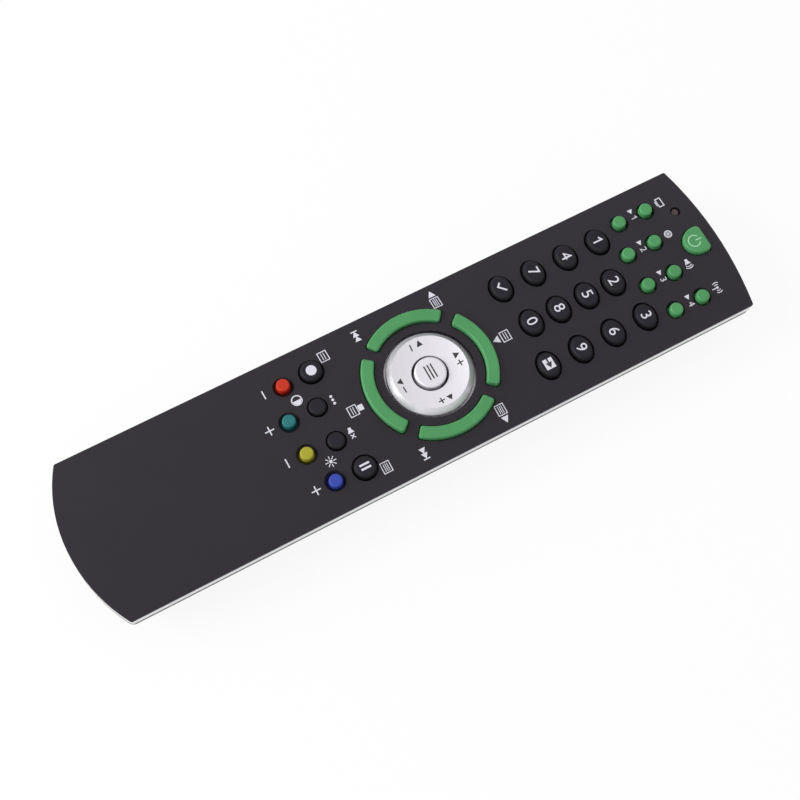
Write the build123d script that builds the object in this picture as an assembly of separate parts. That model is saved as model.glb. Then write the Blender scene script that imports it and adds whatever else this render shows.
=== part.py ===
from build123d import *
from dataclasses import dataclass
from typing import Callable
import math
import os

# A slim universal remote control lying on its back: keys up (+Z), emitter end at +Y.
# Lengths are in millimetres, angles in degrees.
# Places along the remote are given from the middle of its straight sides.

# Outline of the case seen from above.
body_width = 50.0
top_end_bow = 2.1
bottom_end_bow = 6.9
plate_corner_radius = 0.6
trim_corner_radius = 1.2
shell_corner_radius = 2.5

# Forms of the case seen from its end.
hull_draft = 25.0
hull_edge_radius = 3.5
lip_height = 1.2
trim_height = 2.5
plate_edge_thickness = 0.7
plate_crown = 1.6

# Wall thicknesses.
shell_wall = 2.0
trim_wall = 1.4
trim_flange_thickness = 0.8
trim_tongue_wall = 1.0
plate_thickness = 1.5
plate_spigot_wall = 1.0
plate_spigot_depth = 1.4
seat_clearance = 0.1

# Circuit board and rubber mat. Places along the board are shares of its length,
# counted from its bottom edge, and places across it are shares of half the case's width.
board_length = 140.9
board_side_gap = 3.7
board_end_gap = 2.75
board_bay_gap = 4.7
board_drop = 5.0
board_corner_radius = 4.0
board_thickness = 1.6
mat_margin = 0.6
mat_thickness = 1.0
board_post_radius = 1.8
board_post_inset = 3.3
board_post_shares = (0.9404, 0.6707, 0.3442, 0.0461)

# Keys: fit and travel.
key_travel = 0.9
contact_gap = 0.1
flange_lip = 0.5
flange_thickness = 0.8
flange_headroom = 0.35
stem_gap = 0.3

# Power key.
power_end_gap = 1.4
power_half_width = 4.35
power_flat = 2.3
power_round = 4.9
power_corner = 1.5
power_rise = 1.5
power_edge = 0.7
power_gap = 0.4
power_stem_radius = 1.8

# Small green keys: outer and inner pair of each row.
small_radius = 2.0
small_rise = 1.65
small_edge = 0.6
small_gap = 0.5
small_dimple_width = 0.35
small_dimple_depth = 0.5
small_stem_radius = 1.2
small_outer_share = 0.6424
small_inner_share = 0.2236
device_shares = (0.9282, 0.9036)
extra_shares = (0.8617, 0.8375)

# Oval keys of the number block.
oval_half_width = 4.05
oval_half_length = 3.15
oval_rise = 1.4
oval_edge = 1.2
oval_gap = 0.6
oval_stem_radius = 1.8
oval_column_share = 0.5468
oval_side_shares = (0.7960, 0.7168, 0.6376, 0.5586)
oval_middle_shares = (0.7757, 0.7097, 0.6414, 0.5752)

# Ring of arc keys round the disc.
disc_share = 0.3340
arc_outer_share = 0.8
arc_inner_share = 0.652
arc_half_angle = 38.8
arc_corner = 0.8
arc_rise = 1.5
arc_edge = 0.55
arc_gap = 0.4
arc_stem_radius = 1.2

# Navigation disc and the menu key in it.
disc_hole_share = 0.536
disc_gap = 0.7
disc_bevel_width = 1.55
disc_bevel_drop = 1.8
disc_rim_rise = 1.2
disc_menu_share = 0.218
disc_menu_sink = 0.2
disc_wall = 1.1
disc_flange_lip = 0.7
disc_flange_thickness = 0.7
disc_flange_drop = 1.2
disc_collar_wall = 1.1
disc_collar_drop = 0.65
disc_nub_radius = 1.5
disc_nub_share = 0.4
disc_nub_lift = 0.62
disc_nub_gap = 0.5
hub_gap = 0.55
hub_width = 1.5
hub_lift = 0.45
hub_thickness = 0.75
menu_gap = 0.75
menu_rise = 1.0
menu_edge = 0.65
menu_base_drop = 1.35
menu_stem_radius = 1.8

# Round dark keys and the coloured keys under them.
large_radius = 3.3
large_rise = 1.5
large_edge = 1.0
large_gap = 0.55
large_stem_radius = 1.6
large_x_share = 0.648
large_share = 0.1211
medium_radius = 2.6
medium_rise = 1.0
medium_edge = 0.8
medium_gap = 0.45
medium_stem_radius = 1.4
medium_x_share = 0.2276
medium_share = 0.0962
colour_radius = 1.95
colour_rise = 1.5
colour_edge = 0.5
colour_gap = 0.4
colour_dimple_width = 0.75
colour_dimple_depth = 0.8
colour_stem_radius = 1.2
colour_outer_share = 0.6396
colour_inner_share = 0.216
colour_shares = (0.0561, 0.0312)

# Status light.
light_x_share = -0.464
light_end_gap = 2.0
light_radius = 1.45
light_dome = 0.7
light_recess = 0.35
light_foot_radius = 1.75
light_foot_height = 0.9
light_gap = 0.1

# Infrared emitter and its window.
emitter_radius = 2.5
emitter_dome = 2.0
emitter_length = 7.0
emitter_rim_radius = 2.9
emitter_rim_length = 1.0
emitter_drop = 3.3
emitter_window_gap = 0.7
lead_width = 0.5
lead_spread = 1.27
lead_length = 2.4
window_half_width = 10.5
window_height = 5.6
window_drop = 1.6
window_gap = 0.05

# Battery bay with two standard AAA cells.
cell_radius = 5.25
cell_length = 43.7
cell_nub_radius = 1.9
cell_nub_length = 0.8
cell_edge = 0.5
cell_between_gap = 0.6
cell_lift = 0.3
cell_roof_gap = 0.3
bay_end_gap = 4.45
bay_side_gap = 0.35
bay_wall = 1.2
bay_roof = 1.0
bay_plate_gap = 1.4
contact_thickness = 0.4
contact_width = 8.4
contact_rise = 4.0
contact_tail_width = 2.0
contact_tail_gap = 0.2
contact_tail_overlap = 1.5
spring_length = 4.2
spring_wide_radius = 3.0
spring_narrow_radius = 1.9
spring_wire = 0.5

# Battery cover and the way it is held. Hooks are placed by shares of the bay's length.
cover_side_inset = 8.4
cover_overlap = 2.0
cover_end_drop = 3.4
cover_gap = 0.25
cover_slide = 8.0
panel_thickness = 1.0
ledge_width = 2.2
ledge_gap = 0.2
ledge_end_gap = 0.7
hook_length = 5.0
hook_reach = 1.6
hook_root = 1.0
hook_thickness = 1.1
hook_shares = (0.1374, 0.4404, 0.7434)
hook_gap = 0.3
hook_slack = 0.4
tab_half_width = 1.4
tab_reach = 2.2
tab_root = 0.7
grip_inset = 10.8
grip_count = 5
grip_pitch = 2.2
grip_width = 1.1
grip_depth = 0.5
grip_half_length = 7.0

# Case screws, from the back into posts of the face plate.
screw_shares = (0.8694, 0.1313)
screw_head_radius = 2.6
screw_head_height = 1.8
screw_head_dome = 0.5
screw_shaft_radius = 1.1
screw_length = 8.4
screw_seat_drop = 4.9
boss_radius = 4.2
boss_web = 2.0
boss_bore_radius = 3.0
boss_hole_radius = 1.4
post_radius = 2.4
post_gap = 0.3

# Parts soldered under the circuit board.
chip_width = 13.0
chip_length = 9.0
chip_height = 1.9
chip_share = 0.5855
chip_pin_count = 10
chip_pin_width = 0.4
chip_pin_reach = 1.0
chip_pin_height = 0.6
crystal_radius = 1.6
crystal_length = 8.0
crystal_x_share = 0.48
crystal_share = 0.4862
capacitor_radius = 3.0
capacitor_height = 6.4
capacitor_edge = 0.4
capacitor_x_share = -0.4
capacitor_share = 0.1029

# The case is as long as its board and its battery bay need.
bay_length = cell_length + cell_nub_length + spring_length + 2 * contact_thickness
side_length = bay_end_gap + bay_length + board_bay_gap + board_length + board_end_gap
half_width = body_width / 2
half_side = side_length / 2
datum_y = (bottom_end_bow - top_end_bow) / 2
top_y = half_side + top_end_bow
bay_bottom_y = bay_end_gap - half_side
bay_top_y = bay_bottom_y + bay_length
board_top_y = half_side - board_end_gap
board_bottom_y = board_top_y - board_length
board_width = body_width - 2 * board_side_gap
power_y = board_top_y - power_end_gap
light_x = light_x_share * half_width
light_y = board_top_y - light_end_gap
disc_y = board_bottom_y + disc_share * board_length

# It is as deep as its cells need.
cell_level = shell_wall + cell_lift + cell_radius
roof_level = cell_level + cell_radius + cell_roof_gap
plate_level = roof_level + bay_roof + bay_plate_gap
lip_level = plate_level - trim_height
hull_depth = lip_level - lip_height
crown_level = plate_level + plate_edge_thickness
crown_radius = (half_width**2 + plate_crown**2) / (2 * plate_crown)
crown_centre = crown_level + plate_crown - crown_radius
board_level = plate_level - board_drop
board_top = board_level + board_thickness
mat_top = board_top + mat_thickness
pill_level = board_top + contact_gap + key_travel
screw_seat_level = board_level - screw_seat_drop
emitter_level = board_level - emitter_drop

# Sizes of the ring and the disc, from the outside in.
arc_outer_radius = arc_outer_share * half_width
arc_inner_radius = arc_inner_share * half_width
disc_hole_radius = disc_hole_share * half_width
disc_flange_radius = disc_hole_radius + disc_flange_lip
disc_skirt_radius = disc_hole_radius - disc_gap
disc_rim_radius = disc_skirt_radius - disc_bevel_width
disc_nub_orbit = disc_nub_share * half_width
disc_menu_radius = disc_menu_share * half_width
menu_radius = disc_menu_radius - menu_gap
hub_inner_radius = disc_menu_radius + hub_gap
hub_outer_radius = hub_inner_radius + hub_width
hub_level = mat_top + hub_lift
disc_flange_level = plate_level - disc_flange_drop

# Places and sizes of the battery bay and its cover.
cell_x = cell_radius + cell_between_gap / 2
bay_side = cell_x + cell_radius + bay_side_gap
shell_side = shell_wall / math.cos(math.radians(hull_draft))
cover_half_width = half_width - cover_side_inset
cover_top_y = bay_top_y + cover_overlap
ledge_half_width = cover_half_width - ledge_width
hook_low = shell_wall + hook_gap
hook_top = hook_low + hook_thickness
hook_root_x = ledge_half_width - cover_gap
bay_low = hook_top + hook_gap


@dataclass
class Key:
    """One key: its outline seen from above, how far it stands up, and its stem."""

    name: str
    x: float
    y: float
    outline: Callable[[float], Sketch]
    rise: float
    edge: float
    gap: float
    stem_radius: float
    dimple_width: float = 0
    dimple_depth: float = 0


def place_y(y: float) -> float:
    """Turn a place along the remote into the part's own frame."""
    return y + datum_y


def board_y(share: float) -> float:
    """Place along the remote at a share of the board's length."""
    return board_bottom_y + share * board_length


def crown_top(x: float) -> float:
    """Height of the face plate's top at a distance from its middle line."""
    return crown_centre + math.sqrt(crown_radius**2 - x**2)


def crown_underside(x: float) -> float:
    """Height of the face plate's underside at a distance from its middle line."""
    under = crown_centre + math.sqrt((crown_radius - plate_thickness) ** 2 - x**2)
    return max(under, plate_level)


def block(x_low: float, x_high: float, y_low: float, y_high: float, z_low: float, z_high: float) -> Part:
    """Box between two corners, with its places along the remote in the outline's terms."""
    centre = ((x_low + x_high) / 2, place_y((y_low + y_high) / 2), (z_low + z_high) / 2)
    return Pos(*centre) * Box(x_high - x_low, y_high - y_low, z_high - z_low)


def rod(x: float, y: float, radius: float, z_low: float, z_high: float) -> Part:
    """Upright cylinder between two heights."""
    return Pos(x, place_y(y), (z_low + z_high) / 2) * Cylinder(radius, z_high - z_low)


def case_outline(inset: float, corner: float) -> Face:
    """Outline of the case seen from above, moved inward by inset."""
    reach = half_width - inset
    top_radius = (half_width**2 + top_end_bow**2) / (2 * top_end_bow)
    bottom_radius = (half_width**2 + bottom_end_bow**2) / (2 * bottom_end_bow)
    top_centre = place_y(half_side + top_end_bow - top_radius)
    bottom_centre = place_y(bottom_radius - half_side - bottom_end_bow)
    top_corner = top_centre + math.sqrt((top_radius - inset) ** 2 - reach**2)
    bottom_corner = bottom_centre - math.sqrt((bottom_radius - inset) ** 2 - reach**2)
    edges = [
        Line((-reach, bottom_corner), (-reach, top_corner)),
        ThreePointArc((-reach, top_corner), (0, top_centre + top_radius - inset), (reach, top_corner)),
        Line((reach, top_corner), (reach, bottom_corner)),
        ThreePointArc(
            (reach, bottom_corner), (0, bottom_centre - bottom_radius + inset), (-reach, bottom_corner)
        ),
    ]
    face = make_face(edges).face()
    if corner > 0:
        face = fillet(face.vertices(), corner).face()
    return face


def case_slab(inset: float, corner: float, z_low: float, z_high: float) -> Part:
    """Upright prism on the case's outline."""
    return extrude(Pos(0, 0, z_low) * case_outline(inset, corner), z_high - z_low)


def hull(inset: float, floor: float, edge_radius: float) -> Part:
    """Drafted lower body, flat underneath and round along its bottom edge."""
    drop = hull_depth - floor
    lean = drop * math.tan(math.radians(hull_draft))
    reach = half_width - inset
    section = Polyline(
        (reach, 0, hull_depth), (-reach, 0, hull_depth),
        (lean - reach, 0, floor), (reach - lean, 0, floor), (reach, 0, hull_depth),
    )
    body = extrude(make_face(section), side_length, both=True)
    for bow, side in ((top_end_bow, 1), (bottom_end_bow, -1)):
        radius = (half_width**2 + bow**2) / (2 * bow)
        centre_y = side * (half_side + bow - radius)
        rim = radius - inset
        level = (floor + hull_depth) / 2
        beyond = Pos(0, place_y(centre_y) + side * side_length, level) * Box(
            body_width, 2 * side_length, drop
        )
        body -= beyond - Pos(0, place_y(centre_y), level) * Cone(rim - lean, rim, drop)
    slanted = body.edges().filter_by(lambda edge: edge.bounding_box().size.Z > hull_depth / 2)
    body = fillet(slanted, shell_corner_radius)
    return fillet(body.edges().group_by(Axis.Z)[0], edge_radius)


def crowned(solid: Part, radius: float) -> Part:
    """Keep what lies under a long cylinder that follows the plate's crown."""
    length = side_length + bottom_end_bow + top_end_bow + body_width
    cutter = Pos(0, 0, crown_centre) * Rot(90, 0, 0) * Cylinder(radius, length)
    return solid & cutter


def round_outline(x: float, y: float, radius: float) -> Callable[[float], Sketch]:
    """Outline maker for a round key."""
    return lambda grow: Pos(x, place_y(y)) * Circle(radius + grow)


def oval_outline(x: float, y: float) -> Callable[[float], Sketch]:
    """Outline maker for an oval key."""
    return lambda grow: Pos(x, place_y(y)) * Ellipse(oval_half_width + grow, oval_half_length + grow)


def power_outline(grow: float) -> Sketch:
    """Outline of the power key: flat toward the top end, round toward the bottom."""
    wide = power_half_width + grow
    flat = power_flat + grow
    round_half = Ellipse(wide, power_round + grow) & (
        Pos(0, -power_round) * Rectangle(4 * wide, 2 * power_round)
    )
    square_half = Pos(0, flat / 2) * Rectangle(2 * wide, flat)
    top = square_half.vertices().group_by(Axis.Y)[-1]
    square_half = fillet(top, power_corner + grow)
    return Pos(0, place_y(power_y)) * (round_half + square_half)


def arc_outline(turn: float) -> Callable[[float], Sketch]:
    """Outline maker for one arc of the ring, turned about the disc's centre."""

    def draw(grow: float) -> Sketch:
        outer = arc_outer_radius + grow
        inner = arc_inner_radius - grow
        middle = (outer + inner) / 2
        half = math.radians(arc_half_angle) + grow / middle
        ring = Circle(outer) - Circle(inner)
        far = 2 * outer
        wedge = make_face(Polyline(
            (0, 0), (far * math.cos(half), far * math.sin(half)),
            (far * math.cos(half), -far * math.sin(half)), (0, 0),
        ))
        arc = ring & wedge
        arc = fillet(arc.vertices(), arc_corner + grow / 2)
        return Pos(0, place_y(disc_y)) * Rot(0, 0, turn) * arc

    return draw


def arc_key(name: str, turn: float) -> Key:
    """Describe one arc key of the ring."""
    orbit = (arc_outer_radius + arc_inner_radius) / 2
    x = orbit * math.cos(math.radians(turn))
    y = disc_y + orbit * math.sin(math.radians(turn))
    return Key(name, x, y, arc_outline(turn), arc_rise, arc_edge, arc_gap, arc_stem_radius)


def list_keys() -> list[Key]:
    """All keys that go straight down, apart from the menu key in the disc."""
    power = Key(
        "key_power", 0, power_y - power_stem_radius, power_outline,
        power_rise, power_edge, power_gap, power_stem_radius,
    )
    keys = [power]
    outer_x = small_outer_share * half_width
    inner_x = small_inner_share * half_width
    for row, shares in (("device", device_shares), ("extra", extra_shares)):
        outer_y, inner_y = [board_y(share) for share in shares]
        spots = ((-outer_x, outer_y), (-inner_x, inner_y), (inner_x, inner_y), (outer_x, outer_y))
        for number, (x, y) in enumerate(spots, start=1):
            keys.append(Key(
                f"key_{row}_{number}", x, y, round_outline(x, y, small_radius), small_rise, small_edge,
                small_gap, small_stem_radius, small_dimple_width, small_dimple_depth,
            ))
    names = (("1", "2", "3"), ("4", "5", "6"), ("7", "8", "9"), ("confirm", "0", "input"))
    column_x = oval_column_share * half_width
    for row, side_share, middle_share in zip(names, oval_side_shares, oval_middle_shares):
        side_y, middle_y = board_y(side_share), board_y(middle_share)
        for name, x, y in zip(row, (-column_x, 0, column_x), (side_y, middle_y, side_y)):
            keys.append(Key(
                f"key_{name}", x, y, oval_outline(x, y), oval_rise, oval_edge, oval_gap, oval_stem_radius
            ))
    for number, name in enumerate(("right", "up", "left", "down")):
        keys.append(arc_key(f"key_arc_{name}", number * 90))
    x, y = large_x_share * half_width, board_y(large_share)
    for name, side in (("record", -1), ("pause", 1)):
        keys.append(Key(
            f"key_{name}", side * x, y, round_outline(side * x, y, large_radius),
            large_rise, large_edge, large_gap, large_stem_radius,
        ))
    x, y = medium_x_share * half_width, board_y(medium_share)
    for name, side in (("plain_left", -1), ("plain_right", 1)):
        keys.append(Key(
            f"key_{name}", side * x, y, round_outline(side * x, y, medium_radius),
            medium_rise, medium_edge, medium_gap, medium_stem_radius,
        ))
    outer_x, inner_x = colour_outer_share * half_width, colour_inner_share * half_width
    outer_y, inner_y = [board_y(share) for share in colour_shares]
    colour_spots = (
        ("red", -outer_x, outer_y), ("teal", -inner_x, inner_y),
        ("yellow", inner_x, inner_y), ("blue", outer_x, outer_y),
    )
    for name, x, y in colour_spots:
        keys.append(Key(
            f"key_{name}", x, y, round_outline(x, y, colour_radius), colour_rise, colour_edge,
            colour_gap, colour_stem_radius, colour_dimple_width, colour_dimple_depth,
        ))
    return keys


def make_key(key: Key) -> Part:
    """Key cap with a rounded top, a flange that keeps it in, and a stem to its contact."""
    brim = key.outline(key.gap + flange_lip)
    box = brim.bounding_box()
    reach = max(abs(box.min.X), abs(box.max.X))
    flange_top = crown_underside(reach) - flange_headroom
    flange_low = flange_top - flange_thickness
    top = crown_top(key.x) + key.rise
    cap = extrude(Pos(0, 0, flange_low) * key.outline(0), top - flange_low)
    cap = fillet(cap.edges().group_by(Axis.Z)[-1], key.edge)
    flange = extrude(Pos(0, 0, flange_low) * brim, flange_thickness)
    stem = rod(key.x, key.y, key.stem_radius, pill_level, flange_low + flange_thickness)
    return cap + flange + stem


def make_dimple(key: Key) -> Part:
    """Space of the dimple that the plate has round a key, wider toward the top."""
    floor = crown_top(key.x) - key.dimple_depth
    wide = key.outline(key.gap + 2 * key.dimple_width)
    return loft([Pos(0, 0, floor) * key.outline(key.gap), Pos(0, 0, floor + 2 * key.dimple_depth) * wide])


def make_menu_key() -> Part:
    """Round key in the middle of the disc."""
    base = plate_level - menu_base_drop
    cap = rod(0, disc_y, menu_radius, base, crown_top(0) + menu_rise)
    cap = fillet(cap.edges().group_by(Axis.Z)[-1], menu_edge)
    stem = rod(0, disc_y, menu_stem_radius, pill_level, base)
    return cap + stem


def nub_places() -> list[tuple[float, float]]:
    """Places of the four contact nubs under the disc."""
    turns = [math.radians(90 * number) for number in range(4)]
    return [(disc_nub_orbit * math.cos(turn), disc_y + disc_nub_orbit * math.sin(turn)) for turn in turns]


def dish_level(radius: float) -> float:
    """Height of the disc's dished top at a distance from its centre."""
    rim = crown_top(0) + disc_rim_rise
    sink = disc_rim_rise + disc_menu_sink
    share = (disc_rim_radius**2 - radius**2) / (disc_rim_radius**2 - disc_menu_radius**2)
    return rim - sink * share


def make_disc() -> Part:
    """Dished disc with a bevelled edge, a hole for the menu key and four contact nubs."""
    rim_z = crown_top(0) + disc_rim_rise
    flange_z = disc_flange_level + disc_flange_thickness
    dish_radius = (disc_rim_radius + disc_menu_radius) / 2
    collar_radius = disc_menu_radius + disc_collar_wall
    hollow_radius = disc_skirt_radius - disc_wall
    collar_level = plate_level - disc_collar_drop
    dish = ThreePointArc(
        (disc_menu_radius, 0, dish_level(disc_menu_radius)),
        (dish_radius, 0, dish_level(dish_radius)),
        (disc_rim_radius, 0, rim_z),
    )
    corners = (
        (disc_rim_radius, rim_z),
        (disc_skirt_radius, rim_z - disc_bevel_drop),
        (disc_skirt_radius, flange_z),
        (disc_flange_radius, flange_z),
        (disc_flange_radius, disc_flange_level),
        (hollow_radius, disc_flange_level),
        (hollow_radius, dish_level(hollow_radius - disc_wall) - disc_wall),
        (collar_radius, dish_level(collar_radius) - disc_wall),
        (collar_radius, collar_level),
        (disc_menu_radius, collar_level),
        (disc_menu_radius, dish_level(disc_menu_radius)),
    )
    walls = Polyline(*[(radius, 0, level) for radius, level in corners])
    profile = make_face([dish, *walls.edges()])
    disc = Pos(0, place_y(disc_y), 0) * revolve(profile, Axis.Z)
    nub_top = dish_level(disc_nub_orbit) - disc_wall / 2
    for x, y in nub_places():
        disc += rod(x, y, disc_nub_radius, board_top + disc_nub_lift, nub_top)
    return disc


def make_hub() -> Part:
    """Ring under the disc that the disc rocks on."""
    hub_top = hub_level + hub_thickness
    ring = rod(0, disc_y, hub_outer_radius, hub_level, hub_top)
    return ring - rod(0, disc_y, hub_inner_radius, hub_level, hub_top)


def screw_places() -> list[float]:
    """Places along the remote of the two case screws."""
    return [board_y(share) for share in screw_shares]


def make_face_plate(keys: list[Key]) -> Part:
    """Crowned plate with a spigot, a hole for every key, and two posts for the case screws."""
    ceiling = crown_level + 2 * plate_crown
    spigot_outer = trim_wall + seat_clearance
    spigot_inner = spigot_outer + plate_spigot_wall
    spigot_low = plate_level - plate_spigot_depth
    plate = crowned(case_slab(0, plate_corner_radius, plate_level, ceiling), crown_radius)
    plate -= crowned(
        case_slab(spigot_inner, shell_corner_radius, plate_level, ceiling), crown_radius - plate_thickness
    )
    spigot = case_slab(spigot_outer, shell_corner_radius, spigot_low, plate_level)
    plate += spigot - case_slab(spigot_inner, shell_corner_radius, spigot_low, plate_level)
    post_low = screw_seat_level + boss_web + post_gap
    screw_tip = screw_seat_level + screw_length
    for y in screw_places():
        plate += rod(0, y, post_radius, post_low, crown_underside(0) + plate_thickness / 2)
        plate -= rod(0, y, screw_shaft_radius, post_low, screw_tip + post_gap)
    for key in keys:
        plate -= extrude(Pos(0, 0, spigot_low) * key.outline(key.gap), ceiling - spigot_low)
        if key.dimple_width > 0:
            plate -= make_dimple(key)
    plate -= rod(0, disc_y, disc_hole_radius, spigot_low, ceiling)
    plate -= rod(light_x, light_y, light_radius + light_gap, spigot_low, ceiling)
    return plate


def make_side_trim() -> Part:
    """Silver band between the plate and the lower shell, with a tongue inside the shell."""
    tongue_outer = shell_side + seat_clearance
    tongue_inner = tongue_outer + trim_tongue_wall
    tongue_low = hull_depth + seat_clearance
    flange_top = lip_level + trim_flange_thickness
    band = case_slab(0, trim_corner_radius, lip_level, plate_level)
    band -= case_slab(trim_wall, shell_corner_radius, flange_top, plate_level)
    band += case_slab(tongue_outer, shell_corner_radius, tongue_low, lip_level)
    return band - case_slab(tongue_inner, shell_corner_radius, tongue_low, flange_top)


def cover_space(grow: float) -> Part:
    """Space the battery cover takes in the wall of the lower shell."""
    return block(
        -cover_half_width - grow, cover_half_width + grow,
        -half_side - bottom_end_bow - shell_wall, cover_top_y + grow,
        -shell_wall, hull_depth - cover_end_drop + grow,
    )


def hook_places() -> list[float]:
    """Places along the remote of the cover's hooks, with the cover shut."""
    return [bay_top_y - share * bay_length for share in hook_shares]


def ledge_space(grow: float) -> Part:
    """Space of the two ledges of the shell that lie over the edges of the cover's panel."""
    y_low, y_high = bay_bottom_y + ledge_end_gap - grow, cover_top_y + cover_gap
    low, top = panel_thickness + ledge_gap - grow, shell_wall
    inner, outer = ledge_half_width - grow, cover_half_width + cover_gap
    return block(inner, outer, y_low, y_high, low, top) + block(-outer, -inner, y_low, y_high, low, top)


def window_space(grow: float) -> Part:
    """Space of the infrared window in the top end wall."""
    top = hull_depth - window_drop
    return block(
        -window_half_width - grow, window_half_width + grow,
        half_side - hull_depth, half_side + 2 * top_end_bow,
        top - window_height - grow, top + grow,
    )


def make_shell_skin() -> Part:
    """Wall of the lower shell, before the cover and the window are parted off it."""
    outer = hull(0, 0, hull_edge_radius) + case_slab(0, shell_corner_radius, hull_depth, lip_level)
    inner = hull(shell_side, shell_wall, hull_edge_radius - shell_wall)
    inner += case_slab(shell_side, shell_corner_radius, hull_depth, lip_level)
    return outer - inner


def make_battery_bay() -> Part:
    """Roof and walls of the battery bay, open toward the cover."""
    side = bay_side + bay_wall
    bay = block(
        -side, side, bay_bottom_y - bay_wall, bay_top_y + bay_wall, bay_low, roof_level + bay_roof
    )
    bay -= block(-bay_side, bay_side, bay_bottom_y, bay_top_y, bay_low, roof_level)
    cross_top = hull_depth - seat_clearance
    for y in (bay_top_y, bay_bottom_y - bay_wall):
        for x_low, x_high in ((-half_width, -side), (side, half_width)):
            bay += block(x_low, x_high, y, y + bay_wall, hook_low, cross_top)
    for x in (-cell_x, cell_x):
        slit = contact_tail_width / 2 + contact_tail_gap
        bay -= block(
            x - slit, x + slit, bay_top_y, bay_top_y + bay_wall,
            board_level - contact_thickness - contact_tail_gap, board_level + contact_tail_gap,
        )
    return bay


def make_lower_shell(skin: Part) -> Part:
    """Lower shell with the battery bay, screw bosses, board posts and the cover's ledges."""
    inside = hull(shell_wall / 2, shell_wall / 2, hull_edge_radius - shell_wall)
    inside += case_slab(shell_wall, shell_corner_radius, hull_depth, roof_level + bay_roof)
    fittings = make_battery_bay()
    post_x = board_width / 2 - board_post_inset
    for share in board_post_shares:
        for x in (-post_x, post_x):
            fittings += rod(x, board_y(share), board_post_radius, shell_wall / 2, board_level)
    for y in screw_places():
        fittings += rod(0, y, boss_radius, shell_wall / 2, board_level)
    shell = skin - cover_space(cover_gap) - window_space(window_gap)
    shell += ledge_space(0) + (fittings & inside)
    notch_width = 2 * (hook_reach + hook_slack)
    for y in hook_places():
        for x in (-ledge_half_width, ledge_half_width):
            shell -= Pos(x, place_y(y - cover_slide), 0) * Box(
                notch_width, hook_length + 2 * hook_slack, 2 * hook_low
            )
    for y in screw_places():
        shell -= rod(0, y, boss_bore_radius, -shell_wall, screw_seat_level)
        shell -= rod(0, y, boss_hole_radius, screw_seat_level, board_level)
        shell -= rod(0, y, post_radius + post_gap, screw_seat_level + boss_web, board_level)
    return shell


def make_battery_cover(skin: Part) -> Part:
    """Cover that slides off toward the bottom end, with hooks, a tab and a grip."""
    cover = (skin & cover_space(0)) - ledge_space(cover_gap)
    for y in hook_places():
        y_low, y_high = y - hook_length / 2, y + hook_length / 2
        for side in (-1, 1):
            root = side * (hook_root_x - hook_root)
            edge = side * hook_root_x
            tip = side * (ledge_half_width + hook_reach)
            cover += block(min(root, edge), max(root, edge), y_low, y_high, shell_wall / 2, hook_low)
            cover += block(min(root, tip), max(root, tip), y_low, y_high, hook_low, hook_top)
    root_y = cover_top_y - tab_root
    cover += block(-tab_half_width, tab_half_width, root_y, cover_top_y, shell_wall / 2, hook_low)
    cover += block(
        -tab_half_width, tab_half_width, root_y, cover_top_y + tab_reach, hook_low, hook_top
    )
    for number in range(grip_count):
        y = bay_top_y - grip_inset - number * grip_pitch
        cover -= block(
            -grip_half_length, grip_half_length, y - grip_width / 2, y + grip_width / 2,
            -grip_depth, grip_depth,
        )
    return cover


def board_slab(inset: float, z_low: float, z_high: float) -> Part:
    """Flat sheet on the board's outline, with round corners."""
    half = board_width / 2 - inset
    slab = block(-half, half, board_bottom_y + inset, board_top_y - inset, z_low, z_high)
    return fillet(slab.edges().filter_by(Axis.Z), board_corner_radius)


def make_keypad_mat(keys: list[Key]) -> Part:
    """Rubber mat on the board, with a hole under every key."""
    mat = board_slab(mat_margin, board_top, mat_top)
    holes = [(key.x, key.y, key.stem_radius + stem_gap) for key in keys]
    holes += [(x, y, disc_nub_radius + disc_nub_gap) for x, y in nub_places()]
    holes += [(0, y, post_radius + post_gap) for y in screw_places()]
    holes.append((0, disc_y, menu_stem_radius + stem_gap))
    holes.append((light_x, light_y, light_foot_radius + stem_gap))
    for x, y, radius in holes:
        mat -= rod(x, y, radius, board_top, mat_top)
    return mat


def make_circuit_board() -> Part:
    """Circuit board with holes round the two screw posts."""
    board = board_slab(0, board_level, board_top)
    for y in screw_places():
        board -= rod(0, y, post_radius + post_gap, board_level, board_top)
    return board


def make_chip() -> Part:
    """Controller chip under the board, with its row of pins on both sides."""
    middle_y = board_y(chip_share)
    half = chip_length / 2
    chip = block(
        -chip_width / 2, chip_width / 2, middle_y - half, middle_y + half,
        board_level - chip_height, board_level,
    )
    pitch = chip_width / chip_pin_count
    for number in range(chip_pin_count):
        x = (number - (chip_pin_count - 1) / 2) * pitch
        reach = half + chip_pin_reach
        chip += block(
            x - chip_pin_width / 2, x + chip_pin_width / 2, middle_y - reach, middle_y + reach,
            board_level - chip_pin_height, board_level,
        )
    return chip


def make_crystal() -> Part:
    """Crystal lying under the board."""
    can = Rot(90, 0, 0) * Cylinder(crystal_radius, crystal_length)
    x = crystal_x_share * half_width
    return Pos(x, place_y(board_y(crystal_share)), board_level - crystal_radius) * can


def make_capacitor() -> Part:
    """Upright capacitor under the board."""
    x, y = capacitor_x_share * half_width, board_y(capacitor_share)
    can = rod(x, y, capacitor_radius, board_level - capacitor_height, board_level)
    return fillet(can.edges().group_by(Axis.Z)[0], capacitor_edge)


def make_status_light() -> Part:
    """Small lens that stands on the board and ends just under the plate's top."""
    top = crown_top(light_x) - light_recess
    lens = rod(light_x, light_y, light_radius, board_top, top)
    lens = fillet(lens.edges().group_by(Axis.Z)[-1], light_dome)
    return lens + rod(light_x, light_y, light_foot_radius, board_top, board_top + light_foot_height)


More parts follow.
